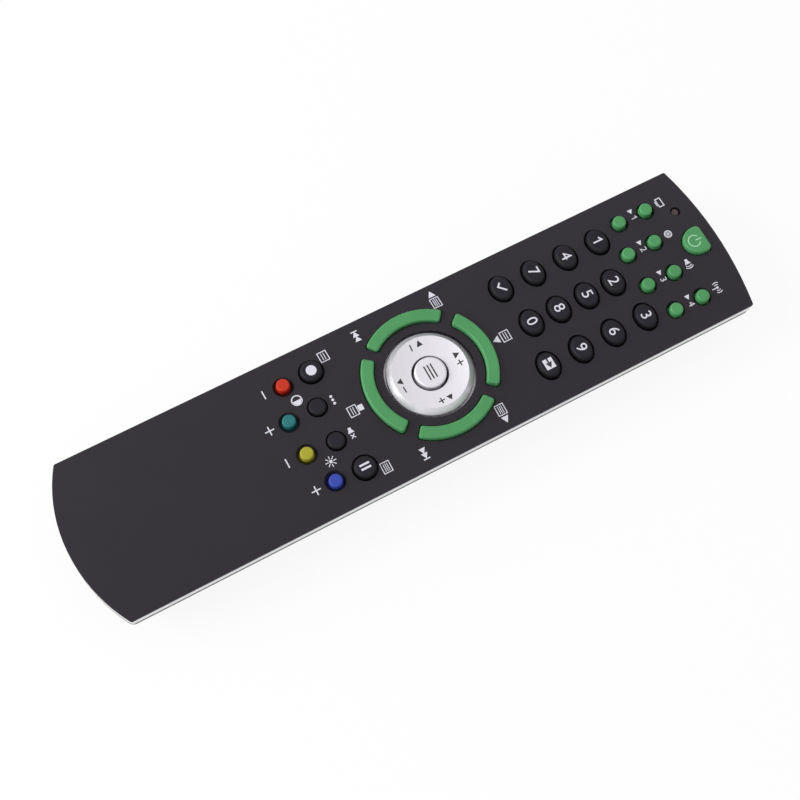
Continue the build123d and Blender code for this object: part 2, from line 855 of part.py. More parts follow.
def make_ir_emitter() -> Part:
    """Infrared emitter lying behind the window, with two legs bent up to the board."""
    draft = math.tan(math.radians(hull_draft))
    tip_y = top_y - (hull_depth - emitter_level) * draft - shell_side - emitter_window_gap
    body = Rot(-90, 0, 0) * Cylinder(emitter_radius, emitter_length)
    body = fillet(body.edges().group_by(Axis.Y)[-1], emitter_dome)
    emitter = Pos(0, place_y(tip_y - emitter_length / 2), emitter_level) * body
    rim_y = tip_y - emitter_length + emitter_rim_length / 2
    rim = Rot(90, 0, 0) * Cylinder(emitter_rim_radius, emitter_rim_length)
    emitter += Pos(0, place_y(rim_y), emitter_level) * rim
    back_y = tip_y - emitter_length
    half = lead_width / 2
    for x in (-lead_spread, lead_spread):
        emitter += block(
            x - half, x + half, back_y - lead_length, back_y, emitter_level - half, emitter_level + half
        )
        emitter += block(
            x - half, x + half, back_y - lead_length, back_y - lead_length + lead_width,
            emitter_level - half, board_level,
        )
    return emitter


def make_cell(x: float, nub_y: float, toward: int) -> Part:
    """AAA cell with its nub's end at nub_y; toward is 1 if the nub points to the top end."""
    body = Rot(90, 0, 0) * Cylinder(cell_radius, cell_length)
    body = fillet(body.edges(), cell_edge)
    nub = Rot(90, 0, 0) * Cylinder(cell_nub_radius, cell_nub_length)
    body_y = nub_y - toward * (cell_nub_length + cell_length / 2)
    cell = Pos(x, place_y(body_y), cell_level) * body
    return cell + Pos(x, place_y(nub_y - toward * cell_nub_length / 2), cell_level) * nub


def make_spring(x: float, plate_y: float, toward: int) -> Part:
    """Plain sleeve in place of a conical spring, widest at its plate."""
    outer = Cone(spring_wide_radius, spring_narrow_radius, spring_length)
    inner = Cone(spring_wide_radius - spring_wire, spring_narrow_radius - spring_wire, spring_length)
    sleeve = Rot(-90 * toward, 0, 0) * (outer - inner)
    return Pos(x, place_y(plate_y + toward * spring_length / 2), cell_level) * sleeve


def make_contact_plate(x: float) -> Part:
    """Contact plate at the top end of the bay, with a tail that runs under the board."""
    plate = block(
        x - contact_width / 2, x + contact_width / 2, bay_top_y - contact_thickness, bay_top_y,
        bay_low, cell_level + contact_rise,
    )
    tail = block(
        x - contact_tail_width / 2, x + contact_tail_width / 2,
        bay_top_y - contact_thickness, board_bottom_y + contact_tail_overlap,
        board_level - contact_thickness, board_level,
    )
    return plate + tail


def make_bridge_contact() -> Part:
    """Contact that joins the two cells at the bottom end, with a spring for the left one."""
    reach = cell_x + contact_width / 2
    plate = block(
        -reach, reach, bay_bottom_y, bay_bottom_y + contact_thickness,
        bay_low, cell_level + contact_rise,
    )
    return plate + make_spring(-cell_x, bay_bottom_y + contact_thickness, 1)


def make_case_screws() -> Compound:
    """Both case screws, driven from the back."""
    screws = []
    for y in screw_places():
        head = rod(0, y, screw_head_radius, screw_seat_level - screw_head_height, screw_seat_level)
        head = fillet(head.edges().group_by(Axis.Z)[0], screw_head_dome)
        shaft = rod(0, y, screw_shaft_radius, screw_seat_level, screw_seat_level + screw_length)
        screws.append(head + shaft)
    return Compound(children=screws)


def main() -> None:
    """Build every node and write it to the parts folder."""
    keys = list_keys()
    skin = make_shell_skin()
    inner_top_y = bay_top_y - contact_thickness
    nodes = {
        "face_plate": make_face_plate(keys),
        "side_trim": make_side_trim(),
        "lower_shell": make_lower_shell(skin),
        "battery_cover": make_battery_cover(skin),
        "ir_window": skin & window_space(0),
        "ir_emitter": make_ir_emitter(),
        "status_light": make_status_light(),
        "keypad_mat": make_keypad_mat(keys),
        "circuit_board": make_circuit_board(),
        "controller_chip": make_chip(),
        "crystal": make_crystal(),
        "capacitor": make_capacitor(),
        "cell_left": make_cell(-cell_x, inner_top_y, 1),
        "cell_right": make_cell(cell_x, bay_bottom_y + contact_thickness, -1),
        "contact_positive": make_contact_plate(-cell_x),
        "contact_negative": make_contact_plate(cell_x) + make_spring(cell_x, inner_top_y, -1),
        "contact_bridge": make_bridge_contact(),
        "case_screws": make_case_screws(),
        "disc_hub": make_hub(),
        "disc": make_disc(),
        "key_menu": make_menu_key(),
    }
    for key in keys:
        nodes[key.name] = make_key(key)
    os.makedirs("parts", exist_ok=True)
    for name, solid in nodes.items():
        export_step(solid, f"parts/{name}.step")


if __name__ == "__main__":
    main()
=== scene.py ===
"""Looks of a slim universal remote control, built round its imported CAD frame.

The CAD nodes keep their shapes and get procedural finishes. New pieces are the printed marks
on the plate, the keys and the disc, the cross-headed case screws and the wound battery springs.
"""

import logging
import math
from collections.abc import Callable, Iterator
from contextlib import contextmanager
from dataclasses import dataclass, field
from enum import Enum

import bmesh
import bpy
from mathutils import Matrix, Vector


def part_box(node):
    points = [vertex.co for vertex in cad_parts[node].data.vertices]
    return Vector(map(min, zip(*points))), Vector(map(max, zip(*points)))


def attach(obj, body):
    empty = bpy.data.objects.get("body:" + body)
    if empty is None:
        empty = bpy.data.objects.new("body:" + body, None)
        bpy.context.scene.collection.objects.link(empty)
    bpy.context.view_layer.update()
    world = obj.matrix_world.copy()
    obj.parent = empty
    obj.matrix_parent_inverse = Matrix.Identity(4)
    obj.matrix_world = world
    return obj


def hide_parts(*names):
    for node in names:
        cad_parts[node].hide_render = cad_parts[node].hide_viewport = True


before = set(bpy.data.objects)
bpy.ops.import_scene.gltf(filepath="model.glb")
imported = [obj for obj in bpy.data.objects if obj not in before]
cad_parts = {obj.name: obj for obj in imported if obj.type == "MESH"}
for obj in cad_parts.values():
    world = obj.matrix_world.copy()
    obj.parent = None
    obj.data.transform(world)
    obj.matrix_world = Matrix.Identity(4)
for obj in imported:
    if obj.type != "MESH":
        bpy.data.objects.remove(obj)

LOG = logging.getLogger("remote_control")
MM = 0.001
QUARTER_TURN = math.radians(90.0)

Colour = tuple[float, float, float]
Point = tuple[float, float]
Place = tuple[float, float, float]
Socket = bpy.types.NodeSocket
Material = bpy.types.Material
Piece = bpy.types.Object


class Pointing(Enum):
    """Which way a printed arrow or triangle points, as a turn in degrees from +X."""

    RIGHT = 0.0
    UP = 90.0
    LEFT = 180.0
    DOWN = 270.0


@dataclass(frozen=True)
class Pattern:
    """Noise on a surface: cycles per metre, octaves, and its depth in metres where it is felt."""

    scale: float
    detail: float = 3.0
    depth: float = 0.0


class Grain(Enum):
    """How the moulded or painted skin of a piece is roughened."""

    SMOOTH = Pattern(900.0, 2.0, 0.0000015)
    SATIN = Pattern(3200.0, 2.0, 0.0000030)
    RUBBER = Pattern(4200.0, 2.0, 0.0000040)
    SPARK = Pattern(3600.0, 2.0, 0.0000110)


# Finishes.


def toned(colour: Colour, share: float) -> Colour:
    """Make a colour lighter or darker."""
    return tuple(min(1.0, channel * share) for channel in colour)


class FinishDesk:
    """Wires the nodes of one material round its Principled shader."""

    mix_share, mix_first, mix_second, mix_result = 0, 6, 7, 2

    def __init__(self, name: str, fixed: dict[str, float]) -> None:
        """Make the material and set what is the same all over it.

        Args:
            name: the material's name.
            fixed: values for the Principled shader's own sockets.
        """
        self.material = bpy.data.materials.new(name)
        self.material.use_nodes = True
        self.tree = self.material.node_tree
        self.shader = self.tree.nodes["Principled BSDF"]
        for socket, value in fixed.items():
            self.shader.inputs[socket].default_value = value
        origin = self.tree.nodes.new("ShaderNodeTexCoord")
        self.place = origin.outputs["Object"]
        self.facing = origin.outputs["Normal"]

    def add(self, kind: str, **values: str) -> bpy.types.Node:
        """Add a node.

        Args:
            kind: the node's type.
            values: settings of the node itself, by name.

        Returns:
            The new node.
        """
        node = self.tree.nodes.new(kind)
        for name, value in values.items():
            setattr(node, name, value)
        return node

    def wire(self, source: Socket, target: Socket) -> None:
        """Join an output to an input."""
        self.tree.links.new(source, target)

    def feed(self, socket: str, source: Socket) -> None:
        """Join an output to one of the shader's own sockets."""
        self.wire(source, self.shader.inputs[socket])

    def noise(self, pattern: Pattern, place: Socket | None = None) -> Socket:
        """Noise over the piece.

        Args:
            pattern: its scale and detail.
            place: the coordinates, or None for the piece's own.

        Returns:
            The noise value, from 0 to 1.
        """
        node = self.add("ShaderNodeTexNoise")
        node.inputs["Scale"].default_value = pattern.scale
        node.inputs["Detail"].default_value = pattern.detail
        self.wire(place or self.place, node.inputs["Vector"])
        return node.outputs["Fac"]

    def spread(
        self, source: Socket, low: float, high: float, start: float = 0.3, stop: float = 0.7
    ) -> Socket:
        """Stretch a value between two limits.

        Args:
            source: the value.
            low: the result at start and below.
            high: the result at stop and above.
            start: where the result begins to move.
            stop: where it has moved all the way.

        Returns:
            The stretched value.
        """
        node = self.add("ShaderNodeMapRange")
        for socket, value in zip(("From Min", "From Max", "To Min", "To Max"), (start, stop, low, high)):
            node.inputs[socket].default_value = value
        self.wire(source, node.inputs["Value"])
        return node.outputs["Result"]

    def share(self, pattern: Pattern) -> Socket:
        """Noise stretched to run all the way from 0 to 1."""
        return self.spread(self.noise(pattern), 0.0, 1.0)

    def mix(self, share: Socket, first: Colour | Socket, second: Colour) -> Socket:
        """Mix two colours.

        Args:
            share: how much of the second there is.
            first: a colour, or the output that gives it.
            second: the other colour.

        Returns:
            The mixed colour.
        """
        node = self.add("ShaderNodeMix", data_type="RGBA")
        self.wire(share, node.inputs[self.mix_share])
        if isinstance(first, tuple):
            node.inputs[self.mix_first].default_value = (*first, 1.0)
        else:
            self.wire(first, node.inputs[self.mix_first])
        node.inputs[self.mix_second].default_value = (*second, 1.0)
        return node.outputs[self.mix_result]

    def gloss(self, roughness: float, shares: Point, pattern: Pattern) -> None:
        """Let the roughness wander over the piece.

        Args:
            roughness: the plain roughness.
            shares: its lowest and highest share.
            pattern: how it wanders.
        """
        low, high = (roughness * share for share in shares)
        self.feed("Roughness", self.spread(self.noise(pattern), low, high))

    def bump(self, height: Socket, depth: float) -> None:
        """Roughen the surface by a height pattern, over any that it has.

        Args:
            height: the pattern, from 0 to 1.
            depth: how deep it is, in metres.
        """
        node = self.add("ShaderNodeBump")
        node.inputs["Distance"].default_value = depth
        node.inputs["Strength"].default_value = 1.0
        self.wire(height, node.inputs["Height"])
        if self.shader.inputs["Normal"].is_linked:
            self.wire(self.shader.inputs["Normal"].links[0].from_socket, node.inputs["Normal"])
        self.feed("Normal", node.outputs["Normal"])

    def relief(self, pattern: Pattern) -> None:
        """Roughen the surface by noise of the pattern's own depth."""
        self.bump(self.noise(pattern), pattern.depth)

    def upward(self) -> Socket:
        """How far the surface faces up, from -1 to 1."""
        node = self.add("ShaderNodeSeparateXYZ")
        self.wire(self.facing, node.inputs[0])
        return node.outputs["Z"]

    def orbit(self, centre: Vector) -> Socket:
        """Distance from an upright line, in metres.

        Args:
            centre: a point of the line.

        Returns:
            The distance.
        """
        flat = self.add("ShaderNodeVectorMath", operation="MULTIPLY")
        flat.inputs[1].default_value = (1.0, 1.0, 0.0)
        self.wire(self.place, flat.inputs[0])
        away = self.add("ShaderNodeVectorMath", operation="DISTANCE")
        away.inputs[1].default_value = (centre.x, centre.y, 0.0)
        self.wire(flat.outputs["Vector"], away.inputs[0])
        return away.outputs["Value"]


def background_share(tree: bpy.types.NodeTree) -> Socket:
    """Tell whether the camera, a reflection or a clear piece looks.

    Args:
        tree: the node tree that asks.

    Returns:
        1 for such a look, 0 for plain light.
    """
    path = tree.nodes.new("ShaderNodeLightPath")
    seen = path.outputs["Is Camera Ray"]
    for name in ("Is Glossy Ray", "Is Transmission Ray"):
        either = tree.nodes.new("ShaderNodeMath")
        either.operation = "MAXIMUM"
        tree.links.new(seen, either.inputs[0])
        tree.links.new(path.outputs[name], either.inputs[1])
        seen = either.outputs["Value"]
    return seen


@dataclass(frozen=True)
class MouldedFinish:
    """Painted or moulded plastic and rubber: a base colour that drifts a little, with a grain.

    A painted shade tone under 1 darkens what faces away from the top: painted shade on the sides.
    """

    name: str
    colour: Colour
    grain: Grain
    roughness: float
    drift: float = 0.08
    specular: float = 0.5
    metallic: float = 0.0
    painted_shade_tone: float = 1.0
    full_shade_facing: float = 0.6
    no_shade_facing: float = 0.98
    cloud: Pattern = Pattern(90.0)
    gloss: Pattern = Pattern(700.0, 4.0)
    gloss_shares: Point = (0.94, 1.06)

    def build(self) -> Material:
        """Make the material.

        Returns:
            The material.
        """
        desk = FinishDesk(self.name, {"Specular IOR Level": self.specular, "Metallic": self.metallic})
        darker, lighter = toned(self.colour, 1.0 - self.drift), toned(self.colour, 1.0 + self.drift)
        tone = desk.mix(desk.share(self.cloud), darker, lighter)
        # Painted shade: surfaces facing away from the top are darkened toward the painted shade tone,
        # standing in for shade on the rounded sides.
        if self.painted_shade_tone < 1.0:
            side = desk.spread(desk.upward(), 1.0, 0.0, self.full_shade_facing, self.no_shade_facing)
            tone = desk.mix(side, tone, toned(self.colour, self.painted_shade_tone))
        desk.feed("Base Color", tone)
        desk.gloss(self.roughness, self.gloss_shares, self.gloss)
        desk.relief(self.grain.value)
        return desk.material


@dataclass(frozen=True)
class TurnedFinish:
    """Silver paint over a turned form: fine rings round the disc's axis, and flakes."""

    name: str
    colour: Colour
    centre: Vector
    roughness: float
    metallic: float = 0.5
    ring_tone: float = 0.93
    rings: Pattern = Pattern(5200.0, 1.0, 0.0000012)
    flakes: Pattern = Pattern(9000.0, 1.0, 0.0000006)
    gloss: Pattern = Pattern(420.0, 4.0)
    gloss_shares: Point = (0.88, 1.12)

    def build(self) -> Material:
        """Make the material.

        Returns:
            The material.
        """
        desk = FinishDesk(self.name, {"Metallic": self.metallic})
        outward = desk.add("ShaderNodeCombineXYZ")
        desk.wire(desk.orbit(self.centre), outward.inputs["X"])
        streak = desk.noise(self.rings, outward.outputs["Vector"])
        tone = desk.mix(desk.spread(streak, 0.0, 1.0), toned(self.colour, self.ring_tone), self.colour)
        desk.feed("Base Color", tone)
        desk.gloss(self.roughness, self.gloss_shares, self.gloss)
        desk.bump(streak, self.rings.depth)
        desk.relief(self.flakes)
        return desk.material


@dataclass(frozen=True)
class LensFinish:
    """Dark tinted plastic lens, lighter where the die sits behind its middle. Radii are in metres."""

    name: str
    rim_colour: Colour
    core_colour: Colour
    centre: Vector
    core_radius: float
    rim_radius: float
    roughness: float = 0.12
    cloud: Pattern = Pattern(1500.0)
    cloud_share: float = 0.25
    gloss: Pattern = Pattern(600.0)
    gloss_shares: Point = (0.8, 1.3)

    def build(self) -> Material:
        """Make the material.

        Returns:
            The material.
        """
        desk = FinishDesk(self.name, {"Coat Weight": 0.3, "Coat Roughness": 0.08})
        core = desk.spread(desk.orbit(self.centre), 1.0, 0.0, self.core_radius, self.rim_radius)
        cloud = desk.spread(desk.noise(self.cloud), 0.0, self.cloud_share)
        rim = desk.mix(cloud, self.rim_colour, self.core_colour)
        desk.feed("Base Color", desk.mix(core, rim, self.core_colour))
        desk.gloss(self.roughness, self.gloss_shares, self.gloss)
        return desk.material


@dataclass(frozen=True)
class BoardFinish:
    """Solder mask with pale tracks and pads showing through."""

    name: str
    mask_colour: Colour = (0.012, 0.11, 0.045)
    track_colour: Colour = (0.04, 0.24, 0.10)
    track_scale: float = 420.0
    track_start: float = 0.95
    track_depth: float = 0.00003
    roughness: float = 0.4
    gloss: Pattern = Pattern(500.0)
    gloss_shares: Point = (0.7, 1.0)

    def build(self) -> Material:
        """Make the material.

        Returns:
            The material.
        """
        desk = FinishDesk(self.name, {"Coat Weight": 0.2})
        cells = desk.add("ShaderNodeTexVoronoi", distance="MANHATTAN", feature="F2")
        cells.inputs["Scale"].default_value = self.track_scale
        desk.wire(desk.place, cells.inputs["Vector"])
        tracks = desk.spread(cells.outputs["Distance"], 0.0, 1.0, self.track_start, 1.0)
        desk.feed("Base Color", desk.mix(tracks, self.mask_colour, self.track_colour))
        desk.gloss(self.roughness, self.gloss_shares, self.gloss)
        desk.bump(tracks, self.track_depth)
        return desk.material


@dataclass(frozen=True)
class CellWrapFinish:
    """Plain battery wrap: a dark sleeve with a copper-coloured band at one end."""

    name: str
    band_start: float
    band_stop: float
    sleeve_colour: Colour = (0.03, 0.03, 0.035)
    band_colour: Colour = (0.55, 0.30, 0.10)
    roughness: float = 0.25
    gloss: Pattern = Pattern(300.0)
    gloss_shares: Point = (1.0, 1.36)

    def build(self) -> Material:
        """Make the material.

        Returns:
            The material.
        """
        desk = FinishDesk(self.name, {"Metallic": 0.35, "Coat Weight": 0.5, "Coat Roughness": 0.1})
        along = desk.add("ShaderNodeSeparateXYZ")
        desk.wire(desk.place, along.inputs[0])
        band = desk.spread(along.outputs["Y"], 0.0, 1.0, self.band_start, self.band_stop)
        desk.feed("Base Color", desk.mix(band, self.sleeve_colour, self.band_colour))
        desk.gloss(self.roughness, self.gloss_shares, self.gloss)
        return desk.material


@dataclass(frozen=True)
class SheetMetalFinish:
    """Plated sheet or wire with fine drawn lines and slight staining."""

    name: str
    colour: Colour
    roughness: float = 0.3
    stain: Pattern = Pattern(700.0, 5.0)
    stain_tone: float = 0.72
    lines: Pattern = Pattern(5000.0, 1.0, 0.000001)
    gloss: Pattern = Pattern(2500.0)
    gloss_shares: Point = (0.8, 1.25)

    def build(self) -> Material:
        """Make the material.

        Returns:
            The material.
        """
        desk = FinishDesk(self.name, {"Metallic": 1.0})
        stained = toned(self.colour, self.stain_tone)
        desk.feed("Base Color", desk.mix(desk.share(self.stain), self.colour, stained))
        desk.gloss(self.roughness, self.gloss_shares, self.gloss)
        desk.relief(self.lines)
        return desk.material


@dataclass(frozen=True)
class InkFinish:
    """Screen-printed ink, slightly uneven in cover."""

    name: str
    colour: Colour
    thin_colour: Colour
    roughness: float = 0.55
    cover: Pattern = Pattern(3800.0, 2.0)
    thin_start: float = 0.25
    thin_stop: float = 0.5
    gloss: Pattern = Pattern(2000.0)
    gloss_shares: Point = (0.9, 1.1)

    def build(self) -> Material:
        """Make the material.

        Returns:
            The material.
        """
        desk = FinishDesk(self.name, {"Specular IOR Level": 0.3})
        cover = desk.spread(desk.noise(self.cover), 0.0, 1.0, self.thin_start, self.thin_stop)
        desk.feed("Base Color", desk.mix(cover, self.thin_colour, self.colour))
        desk.gloss(self.roughness, self.gloss_shares, self.gloss)
        return desk.material


@dataclass
class Finishes:
    """Every material of the remote, made once."""

    disc_centre: Vector
    light_centre: Vector
    window_centre: Vector = field(default_factory=lambda: Vector((0.0, 0.103, 0.0)))
    emitter_centre: Vector = field(default_factory=lambda: Vector((0.0, 0.1, 0.0)))

    def __post_init__(self) -> None:
        """Make the materials."""
        self.make_case()
        self.make_keys()
        self.make_lenses()
        self.make_inner_parts()
        self.make_inks()

    def make_case(self) -> None:
        """Make the paints of the plate and the trim, and the bare plastic of the shell."""
        self.plate = MouldedFinish(
            "plate_paint", (0.0140, 0.0110, 0.0165), Grain.SATIN, roughness=0.45, drift=0.05, specular=0.3
        ).build()
        self.trim = MouldedFinish(
            "silver_trim_paint", (0.76, 0.76, 0.78), Grain.SMOOTH, roughness=0.34, drift=0.03, metallic=0.6
        ).build()
        self.shell = MouldedFinish(
            "textured_shell", (0.020, 0.020, 0.022), Grain.SPARK, roughness=0.56, drift=0.04, specular=0.4
        ).build()

    def make_keys(self) -> None:
        """Make the rubbers of the keys and the paint of the disc."""
        self.green = MouldedFinish(
            "green_silicone", (0.076, 0.305, 0.108), Grain.RUBBER, roughness=0.5, drift=0.06, specular=0.32
        ).build()
        dark = (0.0110, 0.0095, 0.0150)
        # The dark keys carry painted shade on their rounded sides: a quarter of their own colour where they
        # face sideways.
        self.dark = MouldedFinish(
            "dark_silicone", dark, Grain.RUBBER, roughness=0.6, drift=0.10, specular=0.22, painted_shade_tone=0.25
        ).build()
        colours = {
            "red": (0.55, 0.028, 0.007),
            "teal": (0.017, 0.162, 0.174),
            "yellow": (0.375, 0.352, 0.025),
            "blue": (0.034, 0.065, 0.405),
        }
        self.colours = {
            f"key_{name}": MouldedFinish(
                f"{name}_silicone", colour, Grain.RUBBER, roughness=0.48, drift=0.05, specular=0.3
            ).build()
            for name, colour in colours.items()
        }
        self.silver = TurnedFinish(
            "silver_disc_paint", (0.80, 0.785, 0.83), self.disc_centre, roughness=0.33
        ).build()

    def make_lenses(self) -> None:
        """Make the tinted plastic of the light, the window and the emitter."""
        rim, core = (0.030, 0.006, 0.010), (0.050, 0.020, 0.026)
        self.red_lens = LensFinish(
            "status_lens", rim, core, self.light_centre, core_radius=0.0002, rim_radius=0.0009
        ).build()
        rim, core = (0.010, 0.002, 0.004), (0.022, 0.004, 0.008)
        self.window = LensFinish(
            "infrared_window", rim, core, self.window_centre, core_radius=0.002, rim_radius=0.010
        ).build()
        rim, core = (0.10, 0.11, 0.17), (0.30, 0.31, 0.38)
        self.emitter = LensFinish(
            "emitter_lens", rim, core, self.emitter_centre, core_radius=0.001, rim_radius=0.003
        ).build()

    def make_inner_parts(self) -> None:
        """Make the finishes of what the case holds."""
        self.mat = MouldedFinish(
            "grey_mat", (0.16, 0.16, 0.17), Grain.RUBBER, roughness=0.6, drift=0.06
        ).build()
        self.board = BoardFinish("solder_mask").build()
        self.resin = MouldedFinish("chip_resin", (0.014, 0.014, 0.014), Grain.SPARK, roughness=0.55).build()
        self.can = SheetMetalFinish("crystal_can", (0.72, 0.72, 0.70), roughness=0.22).build()
        self.sleeve = MouldedFinish(
            "capacitor_sleeve", (0.012, 0.014, 0.05), Grain.SMOOTH, roughness=0.3, drift=0.06
        ).build()
        self.steel = SheetMetalFinish("plated_steel", (0.62, 0.61, 0.57), roughness=0.26).build()
        self.screw = SheetMetalFinish("black_screw_steel", (0.09, 0.09, 0.10), roughness=0.38).build()

    def make_inks(self) -> None:
        """Make the printing inks, by the slot that they belong to."""
        white = InkFinish("white_ink", (0.76, 0.755, 0.835), (0.66, 0.655, 0.73))
        dark = InkFinish("dark_ink", (0.028, 0.028, 0.032), (0.06, 0.06, 0.065))
        pale = InkFinish("pale_green_ink", (0.40, 0.74, 0.47), (0.30, 0.62, 0.36))
        self.inks = {"print_white": white.build(), "print_dark": dark.build(), "print_pale": pale.build()}


# Handling of pieces.


def dress(piece: Piece, material: Material) -> None:
    """Put one material on every face of a piece.

    Args:
        piece: the piece or CAD node.
        material: its new material.
    """
    if not piece.material_slots:
        piece.data.materials.append(material)
    for slot in piece.material_slots:
        slot.material = material


def dress_nodes(looks: dict[str, Material]) -> None:
    """Dress several CAD nodes and report them.

    Args:
        looks: the material of each node, by the node's name.
    """
    for name, material in looks.items():
        dress(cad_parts[name], material)
    LOG.info("dressed: %s", ", ".join(looks))


def middle(node: str) -> Vector:
    """Middle of a CAD node's box."""
    low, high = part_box(node)
    return (low + high) / 2


def start_piece() -> None:
    """Leave object mode clean, with nothing selected, before a piece is added."""
    if bpy.context.object and bpy.context.object.mode != "OBJECT":
        bpy.ops.object.mode_set(mode="OBJECT")
    bpy.ops.object.select_all(action="DESELECT")


def choose(pieces: list[Piece]) -> None:
    """Select only these pieces, with the first as the active one.

    Args:
        pieces: the pieces.
    """
    start_piece()
    for piece in pieces:
        piece.select_set(True)
    bpy.context.view_layer.objects.active = pieces[0]


def settle() -> Piece:
    """Put the active piece's place, turn and size into its mesh, and return it."""
    bpy.ops.object.transform_apply(location=True, rotation=True, scale=True)
    return bpy.context.object


@contextmanager
def editing() -> Iterator[None]:
    """Hold the active piece in edit mode, with all of it selected at first."""
    bpy.ops.object.mode_set(mode="EDIT")
    bpy.ops.mesh.select_all(action="SELECT")
    yield
    bpy.ops.object.mode_set(mode="OBJECT")


def select_faces(piece: Piece, wanted: Callable[[bmesh.types.BMFace], bool]) -> None:
    """Select some faces of the piece in edit mode and nothing else.

    Args:
        piece: the piece.
        wanted: says whether a face is selected.
    """
    bpy.ops.mesh.select_all(action="DESELECT")
    mesh = bmesh.from_edit_mesh(piece.data)
    for face in mesh.faces:
        face.select = wanted(face)
    bmesh.update_edit_mesh(piece.data)


def join_pieces(pieces: list[Piece], name: str) -> Piece:
    """Join several pieces into the first of them.

    Args:
        pieces: the pieces.
        name: the joined piece's name.

    Returns:
        The joined piece.
    """
    choose(pieces)
    if len(pieces) > 1:
        bpy.ops.object.join()
    whole = bpy.context.object
    whole.name = name
    whole.data.name = name
    return whole


def box_piece(low: Vector, high: Vector, rounding: float) -> Piece:
    """Make a block with rounded edges.

    Args:
        low: its lowest corner, in metres.
        high: its highest corner, in metres.
        rounding: the radius of its edges, in metres.

    Returns:
        The block, with its place in its mesh.
    """
    start_piece()
    bpy.ops.mesh.primitive_cube_add(size=1.0, location=(low + high) / 2)
    bpy.context.object.scale = high - low
    block = settle()
    with editing():
        bpy.ops.mesh.bevel(offset=rounding, segments=2, affect="EDGES")
    return block


# Flat marks.


